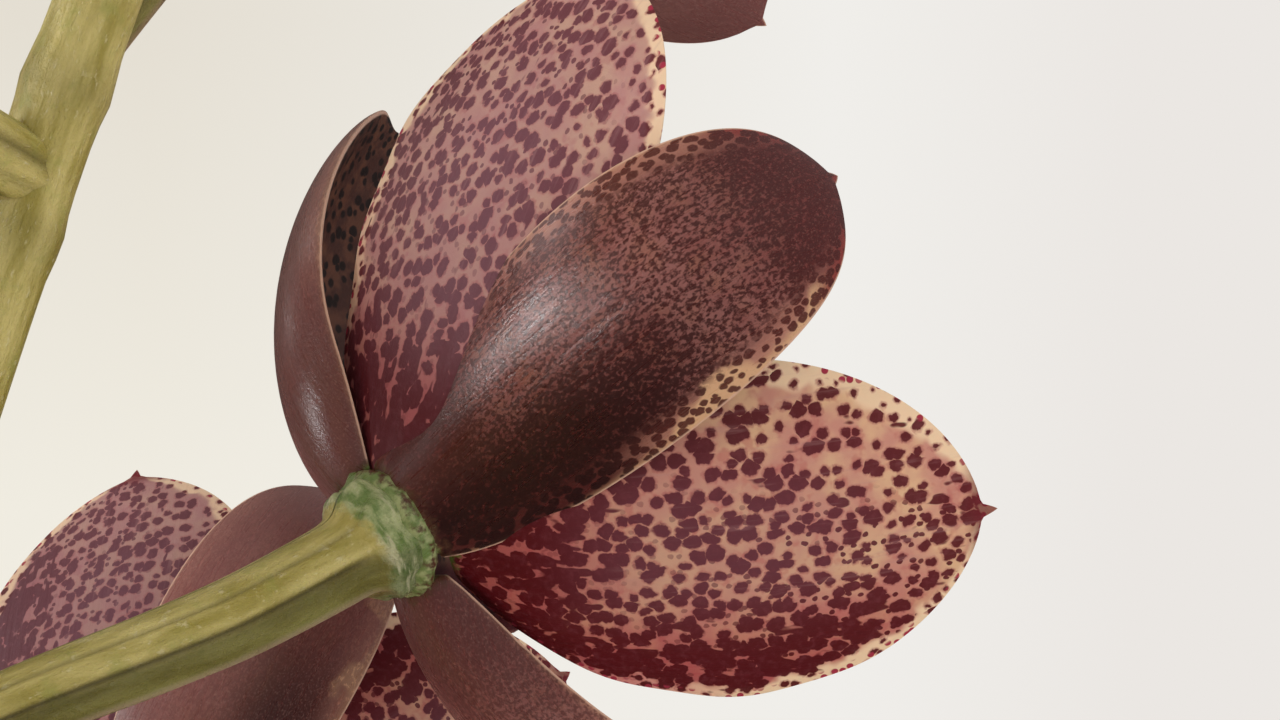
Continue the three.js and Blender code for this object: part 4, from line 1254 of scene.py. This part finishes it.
def leaf_finish():
    f = Finish("leaf_skin")
    flat, across, along, inside, edge = f.marks("flat", "across", "along", "inside", "edge")
    lines = f.number("SINE", across * VEIN_PITCH)
    veins = f.between(lines, 0.55, 0.95)
    pleats = f.number("SINE", across * (np.pi * LEAF["ribs"]) + np.pi / 2)
    ridge = f.between(pleats, 0.86, 0.99)
    long = flat * (1.0, 0.06, 1.0)
    streaks = f.noise(long, 0.55, 5.0)
    clouds = f.noise(flat, 0.03, 4.0)
    colour = f.blend(f.between(streaks, 0.35, 0.65), "#48692c", "#628440")
    colour = f.blend(f.between(clouds, 0.5, 0.7, 0.0, 0.5), colour, "#7b9348")
    colour = f.blend(veins * 0.28, colour, "#87a45a")
    colour = f.blend(ridge * 0.45, colour, "#94ab62")
    paler = f.blend(0.5, colour, "#8ba163")
    colour = f.blend(f.between(inside, 0.6, 0.4), colour, paler)
    colour = f.blend(f.between(along, 0.16, 0.03, 0.0, 0.8), colour, "#a8b47a")
    tip = along + f.noise(flat, 0.08, 3.0) * 0.06
    colour = f.blend(f.between(tip, 1.0, 1.03), colour, "#a18a4c")
    spots = f.spots(f.warped(flat, 0.3, 2.0), 0.09, 0.09, 0.02)
    colour = f.blend(spots * 0.5, colour, "#6b5a2c")
    colour = f.blend(f.between(edge, 0.5, 0.1, 0.0, 0.4), colour, "#9aa660")
    relief = f.bump(lines, 0.00012)
    relief = f.bump(f.noise(flat * (1.0, 0.1, 1.0), 2.0, 4.0), 0.00025, relief)
    return f.finish(colour=colour, roughness=f.between(streaks, 0.3, 0.7, 0.36, 0.50), normal=relief,
                    specular=0.45, subsurface_weight=0.06, subsurface_radius=(0.6, 1.0, 0.25),
                    subsurface_scale=0.0008)


leaf_skin = leaf_finish()
leading_bulb = BULBS[0]
for number, leaf in enumerate(LEAVES, start=1):
    neck = bulb_radius(leading_bulb, np.array((leaf["height"] - BULB_FOOT) / leading_bulb["height"]))
    clasp = neck + LEAF["thick"] / 2 + LEAF_GAP
    shape = {
        **LEAF, "turn": leaf["direction"] - 90, "start": clasp, "clasp": clasp, "open": leaf["open"],
        "length": LEAF["length"] * leaf["length"], "half": LEAF["half"] * leaf["half"],
        "swell": [0.55, 0.8], "bend": 4 if leaf["direction"] > 0 else -4}
    part = blade(shape, 100, 100, seed=number)
    part["marks"]["flat"][:, 1] += 3 * number
    foot = np.array([leading_bulb["x"], leading_bulb["y"], leaf["height"]])
    piece(f"leaf_{number}_fine", [moved(part, np.eye(3), foot)],
          [leaf_skin], [f"leaf_{number}"])

# %% [markdown]
# Orchid roots are covered in a dry white felt that turns green where it is wet, with a fresh
# green tip. They run over the bark and dive into it.

# %% Roots
ROOTS = [
    [[14, -14, 98], [20, -20, 106], [30, -26, 108], [41, -22, 106], [48, -14, 99], [50, -9, 90]],
    [[10, 18, 98], [16, 25, 106], [27, 30, 108], [38, 26, 106.5], [46, 20, 100], [49, 15, 90]],
    [[-46, -7, 96], [-48, -13, 105], [-47, -19, 106.5], [-44, -25, 106], [-42, -30, 100], [-38, -32, 90]],
]
ROOT_RADIUS = 2.2


def root_part(places, seed):
    """A tube that thins by a quarter, with slow bulges and a felted surface."""
    rows, around = 120, 28
    line = course(places, rows)
    run = np.linspace(0, 1, rows)[:, None]
    radius = ROOT_RADIUS * (1 - 0.25 * run) * (0.97 + 0.03 * np.sin(run * 37 + seed))
    rings = tube(line, radius, around)
    rings += unit(rings - line[:, None]) * (ripple(rings, 2.5, seed) * 0.12)[..., None]
    return skin(rings, {"flat": rolled_out(turns(around) * 2, run * 60, seed), "along": run})


def root_finish():
    f = Finish("root_skin")
    flat, along = f.marks("flat", "along")
    clouds = f.noise(flat, 0.25, 4.0)
    felt = f.noise(flat * (2.0, 0.6, 1.0), 1.5, 5.0)
    colour = f.blend(f.between(felt, 0.35, 0.65), "#c6c2ac", "#e6e3d4")
    colour = f.blend(f.between(clouds, 0.5, 0.7, 0.0, 0.6), colour, "#a9ac80")
    colour = f.blend(f.between(along, 0.8, 1.0, 0.0, 0.8), colour, "#9cab5c")
    colour = f.blend(f.between(f.noise(flat, 0.7, 3.0), 0.66, 0.74, 0.0, 0.7), colour, "#8a7452")
    relief = f.bump(felt, 0.0003)
    return f.finish(colour=colour, roughness=f.between(felt, 0.3, 0.7, 0.7, 0.9), normal=relief,
                    specular=0.25)


root_skin = root_finish()
for number, places in enumerate(ROOTS, start=1):
    piece(f"root_{number}_fine", [root_part(places, 300 + number)], [root_skin],
          [f"root_{number}"])

# %% [markdown]
# The pot is thrown clay: a tapered wall with a plain band round its rim and four drain holes in
# its floor. The wall is one profile carried round, so its corners can be eased by adding points,
# and the holes are cut by a boolean, which is simpler than a floor patched round them.

# %% Pot
POT_HEIGHT = 120
POT_BASE_RADIUS = 46
POT_BRIM_RADIUS = 60.5
POT_WALL = 5
POT_FLOOR = 6
POT_RIM_HEIGHT = 22
POT_RIM_PROUD = 4
DRAIN_CIRCLE = 26
DRAIN_RADIUS = 5
BRIM = POT_HEIGHT - POT_RIM_HEIGHT
BARK_TOP = 104


def pot_radius(z):
    """The wall's outer radius, which grows evenly with height."""
    return POT_BASE_RADIUS + (POT_BRIM_RADIUS - POT_BASE_RADIUS) * z / BRIM


def eased(profile, radius, steps=5):
    """The profile's corners cut by a curve: each corner becomes points on a quadratic arc that
    starts and ends at most `radius` from it."""
    made = [profile[:1]]
    for before, corner, after in zip(profile[:-2], profile[1:-1], profile[2:]):
        reach_in = min(radius, np.linalg.norm(corner - before) * 0.4)
        reach_out = min(radius, np.linalg.norm(after - corner) * 0.4)
        enter = corner + unit(before - corner) * reach_in
        leave = corner + unit(after - corner) * reach_out
        t = np.linspace(0, 1, steps)[:, None]
        made.append(enter * (1 - t) ** 2 + 2 * corner * t * (1 - t) + leave * t ** 2)
    made.append(profile[-1:])
    return np.concatenate(made)


def pot_mesh_part():
    """The pot's profile carried round, with shallow throwing lines on the outer wall."""
    outer = POT_BRIM_RADIUS + POT_RIM_PROUD
    inner = pot_radius(POT_HEIGHT) - POT_WALL
    low_inner = pot_radius(POT_FLOOR) - POT_WALL
    profile = eased(np.array([
        [0.5, 0], [POT_BASE_RADIUS, 0], [pot_radius(BRIM - 1), BRIM - 1], [outer - 0.6, BRIM - 0.3],
        [outer + 1.2, POT_HEIGHT - 0.2], [inner + 0.4, POT_HEIGHT], [low_inner, POT_FLOOR],
        [0.5, POT_FLOOR]], float), 1.8)
    run = np.concatenate([[0], np.cumsum(np.linalg.norm(np.diff(profile, axis=0), axis=1))])
    even = np.union1d(np.linspace(0, run[-1], 160), run)
    fine = np.stack([np.interp(even, run, profile[:, k]) for k in range(2)], axis=-1)
    turn = turns(120)
    wall = (fine[:, 0] > pot_radius(fine[:, 1]) - 2) & (fine[:, 1] > 3)
    lines = np.where(wall, 0.10 * np.sin(fine[:, 1] * 2.2) + 0.06 * np.sin(fine[:, 1] * 5.1), 0)
    radius = fine[:, 0] + lines - 0.15 * wall
    return skin(revolved(radius[:, None], turn, fine[:, 1:]))


def clay_finish():
    f = Finish("clay")
    place = f.place()
    clouds = f.noise(place, 14.0, 5.0, 0.6)
    grit = f.noise(place, 900.0, 4.0, 0.6)
    salts = f.noise(place, 28.0, 6.0, 0.65, 0.6)
    height = f.part_of(place, "Z")
    colour = f.blend(f.between(clouds, 0.35, 0.65), "#a9623c", "#c27a50")
    colour = f.blend(f.between(grit, 0.55, 0.7, 0.0, 0.35), colour, "#8a4e30")
    low = f.between(height, 0.045, 0.0)
    bloom = f.between(salts, 0.5, 0.66) * (0.35 + low * 0.5)
    colour = f.blend(bloom, colour, "#d9c3ac")
    damp = f.between(salts, 0.48, 0.36) * f.between(height, 0.08, 0.02)
    colour = f.blend(damp * 0.5, colour, "#7f4a30")
    algae = f.between(height, 0.085, 0.118) * f.between(clouds, 0.5, 0.7)
    colour = f.blend(algae * 0.35, colour, "#7d7c4c")
    relief = f.bump(grit, 0.0003)
    relief = f.bump(f.noise(place, 120.0, 4.0), 0.0005, relief)
    return f.finish(colour=colour, roughness=f.between(clouds, 0.3, 0.7, 0.82, 0.94), normal=relief,
                    specular=0.2)


clay = clay_finish()
pot = piece("pot_fine", [pot_mesh_part()], [clay], ["pot"])


def plain_object(name, part):
    """An object of one part alone, without marks."""
    mesh = bpy.data.meshes.new(name)
    mesh.from_pydata((part["points"] * MM).tolist(), [], part["quads"].tolist() + part["fans"].tolist())
    obj = bpy.data.objects.new(name, mesh)
    bpy.context.scene.collection.objects.link(obj)
    return obj


def cut(obj, rings_list):
    """Takes closed shapes out of a piece with an exact boolean, and keeps the result as its mesh."""
    cutters = []
    for k, rings in enumerate(rings_list):
        cutter = plain_object(f"cutter_{k}", skin(rings))
        modifier = obj.modifiers.new(f"cut_{k}", "BOOLEAN")
        modifier.object = cutter
        modifier.operation = "DIFFERENCE"
        modifier.solver = "EXACT"
        cutters.append(cutter)
    bpy.context.view_layer.update()
    seen = obj.evaluated_get(bpy.context.evaluated_depsgraph_get())
    whole = bpy.data.meshes.new_from_object(seen)
    obj.modifiers.clear()
    obj.data = whole
    for cutter in cutters:
        bpy.data.objects.remove(cutter)
    print(f"{obj.name}: {len(whole.polygons)} faces after {len(rings_list)} cuts")


drain_turns = np.radians([45, 135, 225, 315])
drain_rise = np.linspace(-4, 10, 8)
cut(pot, [tube(revolved(DRAIN_CIRCLE, turn, drain_rise), DRAIN_RADIUS, 36) for turn in drain_turns])

# %% [markdown]
# Bark fills the pot: a rough bed below, and on it several hundred loose chips. Every chip is the
# same small block, squashed, bent out of true and turned at random, and only its few dozen faces
# are repeated. The random numbers come from a fixed seed, so the chips fall the same each time.

# %% Bark
CHIP_COUNT = 420
BARK_GAP = 0.4
CHIP_GAP = 0.5
CHIPS_UNDER = 109.5  # no chip stands higher than this


def bark_bed():
    """A filling with the pot's taper and an uneven top, as a skin of revolution that closes on its
    axis above and below."""
    around = 120
    turn = turns(around)[None, :]
    wall = np.linspace(POT_FLOOR + BARK_GAP, BARK_TOP - 3, 12)[:, None] * np.ones((1, around))
    side = pot_radius(wall) - POT_WALL - BARK_GAP
    inwards = np.linspace(1, 0.01, 40)[:, None]
    reach = (pot_radius(BARK_TOP) - POT_WALL - BARK_GAP) * inwards * np.ones((1, around))
    height = BARK_TOP - 2.5 + 1.6 * ripple(revolved(reach, turn, 0), 14, 5)
    low = np.linspace(0.02, 1, 6)[:, None] * side[:1]
    radius = np.concatenate([low, side, reach])
    z = np.concatenate([np.full_like(low, wall[0, 0]), wall, height])
    rings = revolved(radius, turn, z)
    return skin(rings, {"flat": rings, "tone": 0.2})


def chip_block():
    """The points and faces of a block of 4 by 4 by 2 cells, drawn towards a rounded form."""
    u = np.linspace(-1, 1, 5)
    grid = np.stack(np.meshgrid(u, u, [-1, 0, 1], indexing="ij"), axis=-1).reshape(-1, 3)
    shell = np.abs(grid).max(1) == 1
    index = np.full(len(grid), -1)
    index[shell] = np.arange(shell.sum())
    number = index.reshape(5, 5, 3)
    quads = []
    for axis in range(3):
        for end in (0, -1):
            sheet = np.take(number, end, axis=axis)
            corner = np.stack([sheet[:-1, :-1], sheet[1:, :-1], sheet[1:, 1:], sheet[:-1, 1:]], -1)
            corner = corner.reshape(-1, 4)
            flip = (end == 0) != (axis == 1)
            quads.append(corner[:, ::-1] if flip else corner)
    block = grid[shell]
    return block / (np.abs(block) ** 5).sum(1, keepdims=True) ** (1 / 5), np.concatenate(quads)


def chip_parts():
    """All the chips at once: each is the block scaled, pushed by a random relief, bent a little,
    turned and laid at its place on a spiral."""
    random = np.random.default_rng(7)
    block, quads = chip_block()
    size = np.stack([random.uniform(4.5, 10, CHIP_COUNT), random.uniform(3, 6.5, CHIP_COUNT),
                     random.uniform(1.3, 2.8, CHIP_COUNT)], axis=-1)
    points = block[None] * size[:, None]
    push = ripple(points + random.uniform(0, 500, (CHIP_COUNT, 1, 3)), 6.0, 9)
    points = points * (1 + 0.22 * push[..., None])
    points[..., 2] += 0.03 * (random.uniform(-1, 1, (CHIP_COUNT, 1)) * points[..., 0] ** 2)
    tilt = random.normal(0, 0.42, (CHIP_COUNT, 2))
    spin = random.uniform(0, 2 * np.pi, CHIP_COUNT)
    turned = np.stack([np.array(Euler((a, b, c)).to_matrix()) for (a, b), c in zip(tilt, spin)])
    points = np.einsum("nij,npj->npi", turned, points)
    order = (np.arange(CHIP_COUNT) + 0.5) / CHIP_COUNT
    away = (pot_radius(BARK_TOP) - POT_WALL - 6.5) * np.sqrt(order)
    golden = np.arange(CHIP_COUNT) * np.pi * (3 - np.sqrt(5))
    centre = revolved(away, golden, BARK_TOP - 0.5 + random.uniform(-2.5, 2.5, CHIP_COUNT))
    points = points + centre[:, None]
    limit = pot_radius(BARK_TOP) - POT_WALL - CHIP_GAP
    far = np.linalg.norm(points[..., :2], axis=-1, keepdims=True)
    points[..., :2] *= np.minimum(limit / far, 1)
    points[..., 2] = np.minimum(points[..., 2], CHIPS_UNDER)
    tone = np.repeat(random.uniform(0, 1, CHIP_COUNT), len(block))
    shift = (np.arange(CHIP_COUNT) * len(block))[:, None, None]
    own = block[None] * size[:, None] + random.uniform(0, 900, (CHIP_COUNT, 1, 3))
    return {"points": points.reshape(-1, 3), "quads": (quads[None] + shift).reshape(-1, 4),
            "fans": NO_FANS, "marks": {"flat": own.reshape(-1, 3), "tone": tone}, "finish": 0}


def bark_finish():
    f = Finish("fir_bark")
    own = f.mark("flat")
    tone = f.mark("tone")
    layers = f.noise(own * (0.12, 0.35, 1.6), 1.0, 5.0)
    clouds = f.noise(own, 0.12, 4.0)
    colour = f.blend(f.between(layers, 0.35, 0.65), "#4a2e1e", "#8a5c3a")
    colour = f.blend(tone * 0.5, colour, "#a5764a")
    colour = f.blend(f.between(clouds, 0.52, 0.72, 0.0, 0.7), colour, "#3a2a20")
    colour = f.blend(f.between(tone, 0.86, 0.98, 0.0, 0.6), colour, "#b89a74")
    relief = f.bump(layers, 0.0012)
    relief = f.bump(f.noise(own, 1.2, 5.0), 0.0006, relief)
    return f.finish(colour=colour, roughness=f.between(layers, 0.3, 0.7, 0.8, 0.95), normal=relief,
                    specular=0.2)


fir_bark = bark_finish()
piece("bark_fine", [bark_bed(), chip_parts()], [fir_bark], ["bark"])

# %% [markdown]
# The picture's ground is a plain pale wall, a little warmer on the left. The world draws it, and
# gives only part of its light, so that soft boxes can shape the bloom: a broad one on the left,
# whose reflection is the grey sheen along the sepals, and a weak one from above and behind.

# %% Floor, wall and lights
WORLD_LIGHT = 1.05
FLOOR_RADIUS = 1000
FLOOR_THICK = 4


def studio_world():
    """A pale wall that turns from warm on the left to neutral on the right, by the direction that
    a ray looks in. The camera sees it at full strength. It lights the plant evenly at a lower
    one, and skins mirror it dimly, the more so the lower they look, so that darks stay deep."""
    world = bpy.data.worlds.new("studio")
    bpy.context.scene.world = world
    world.use_nodes = True
    f = Network(world.node_tree)
    looked = f.add("ShaderNodeTexCoord", {}, "Generated")
    sideways = f.part_of(looked, "X")
    upwards = f.part_of(looked, "Z")
    left = f.blend(f.between(upwards, -0.06, 0.14, kind="LINEAR"), "#f0ece1", "#e4ded2")
    wall = f.blend(f.between(sideways, -0.2, 0.08, kind="LINEAR"), left, "#f0eeea")
    wall = f.blend(f.between(sideways, 0.08, 0.2, kind="LINEAR"), wall, "#ebe7e3")
    mirrored = f.between(upwards, -0.2, 0.6, 0.04, 0.26, kind="LINEAR")
    unseen = f.mix(f.add("ShaderNodeLightPath", {}, "Is Glossy Ray"), WORLD_LIGHT, mirrored)
    strength = f.mix(f.add("ShaderNodeLightPath", {}, "Is Camera Ray"), unseen, 1.0)
    background = next(n for n in f.tree.nodes if n.type == "BACKGROUND")
    f.feed(background.inputs["Color"], wall)
    f.feed(background.inputs["Strength"], strength)


def soft_box(name, place, aim, size, power):
    """An oblong area light at a place, turned to a point, all in millimetres."""
    light = bpy.data.lights.new(name, "AREA")
    light.energy = power
    light.shape = "RECTANGLE"
    light.size = size[0] * MM
    light.size_y = size[1] * MM
    obj = bpy.data.objects.new(name, light)
    obj.location = Vector(place) * MM
    towards = (Vector(aim) - Vector(place)).to_track_quat("-Z", "Y")
    obj.rotation_euler = towards.to_euler()
    bpy.context.scene.collection.objects.link(obj)


studio_world()
soft_box("window_box", (-2040, -600, 308), LOOKED_AT, (1150, 600), 80)
soft_box("high_box", (-1880, 610, 1030), LOOKED_AT, (1100, 900), 8)


def floor_part():
    """A flat disc just under the pot."""
    top = revolved(np.array([0.01, 0.5, 1.0])[:, None] * FLOOR_RADIUS, turns(96), 0)
    return skin(np.concatenate([top, top[::-1] - [0, 0, FLOOR_THICK]]))


def floor_finish():
    f = Finish("pale_floor")
    place = f.place()
    mottle = f.noise(place, 3.0, 3.0)
    colour = f.blend(mottle, "#e6e2da", "#ebe8e2")
    away = f.add("ShaderNodeVectorMath", {0: place}, "Value", operation="LENGTH")
    return f.finish(colour=colour, roughness=0.8, specular=0.2, alpha=f.between(away, 0.95, 0.15))


floor = plain_object("floor", floor_part())
floor.data.materials.append(floor_finish())
floor.visible_glossy = False
bpy.context.scene.view_settings.view_transform = "Standard"
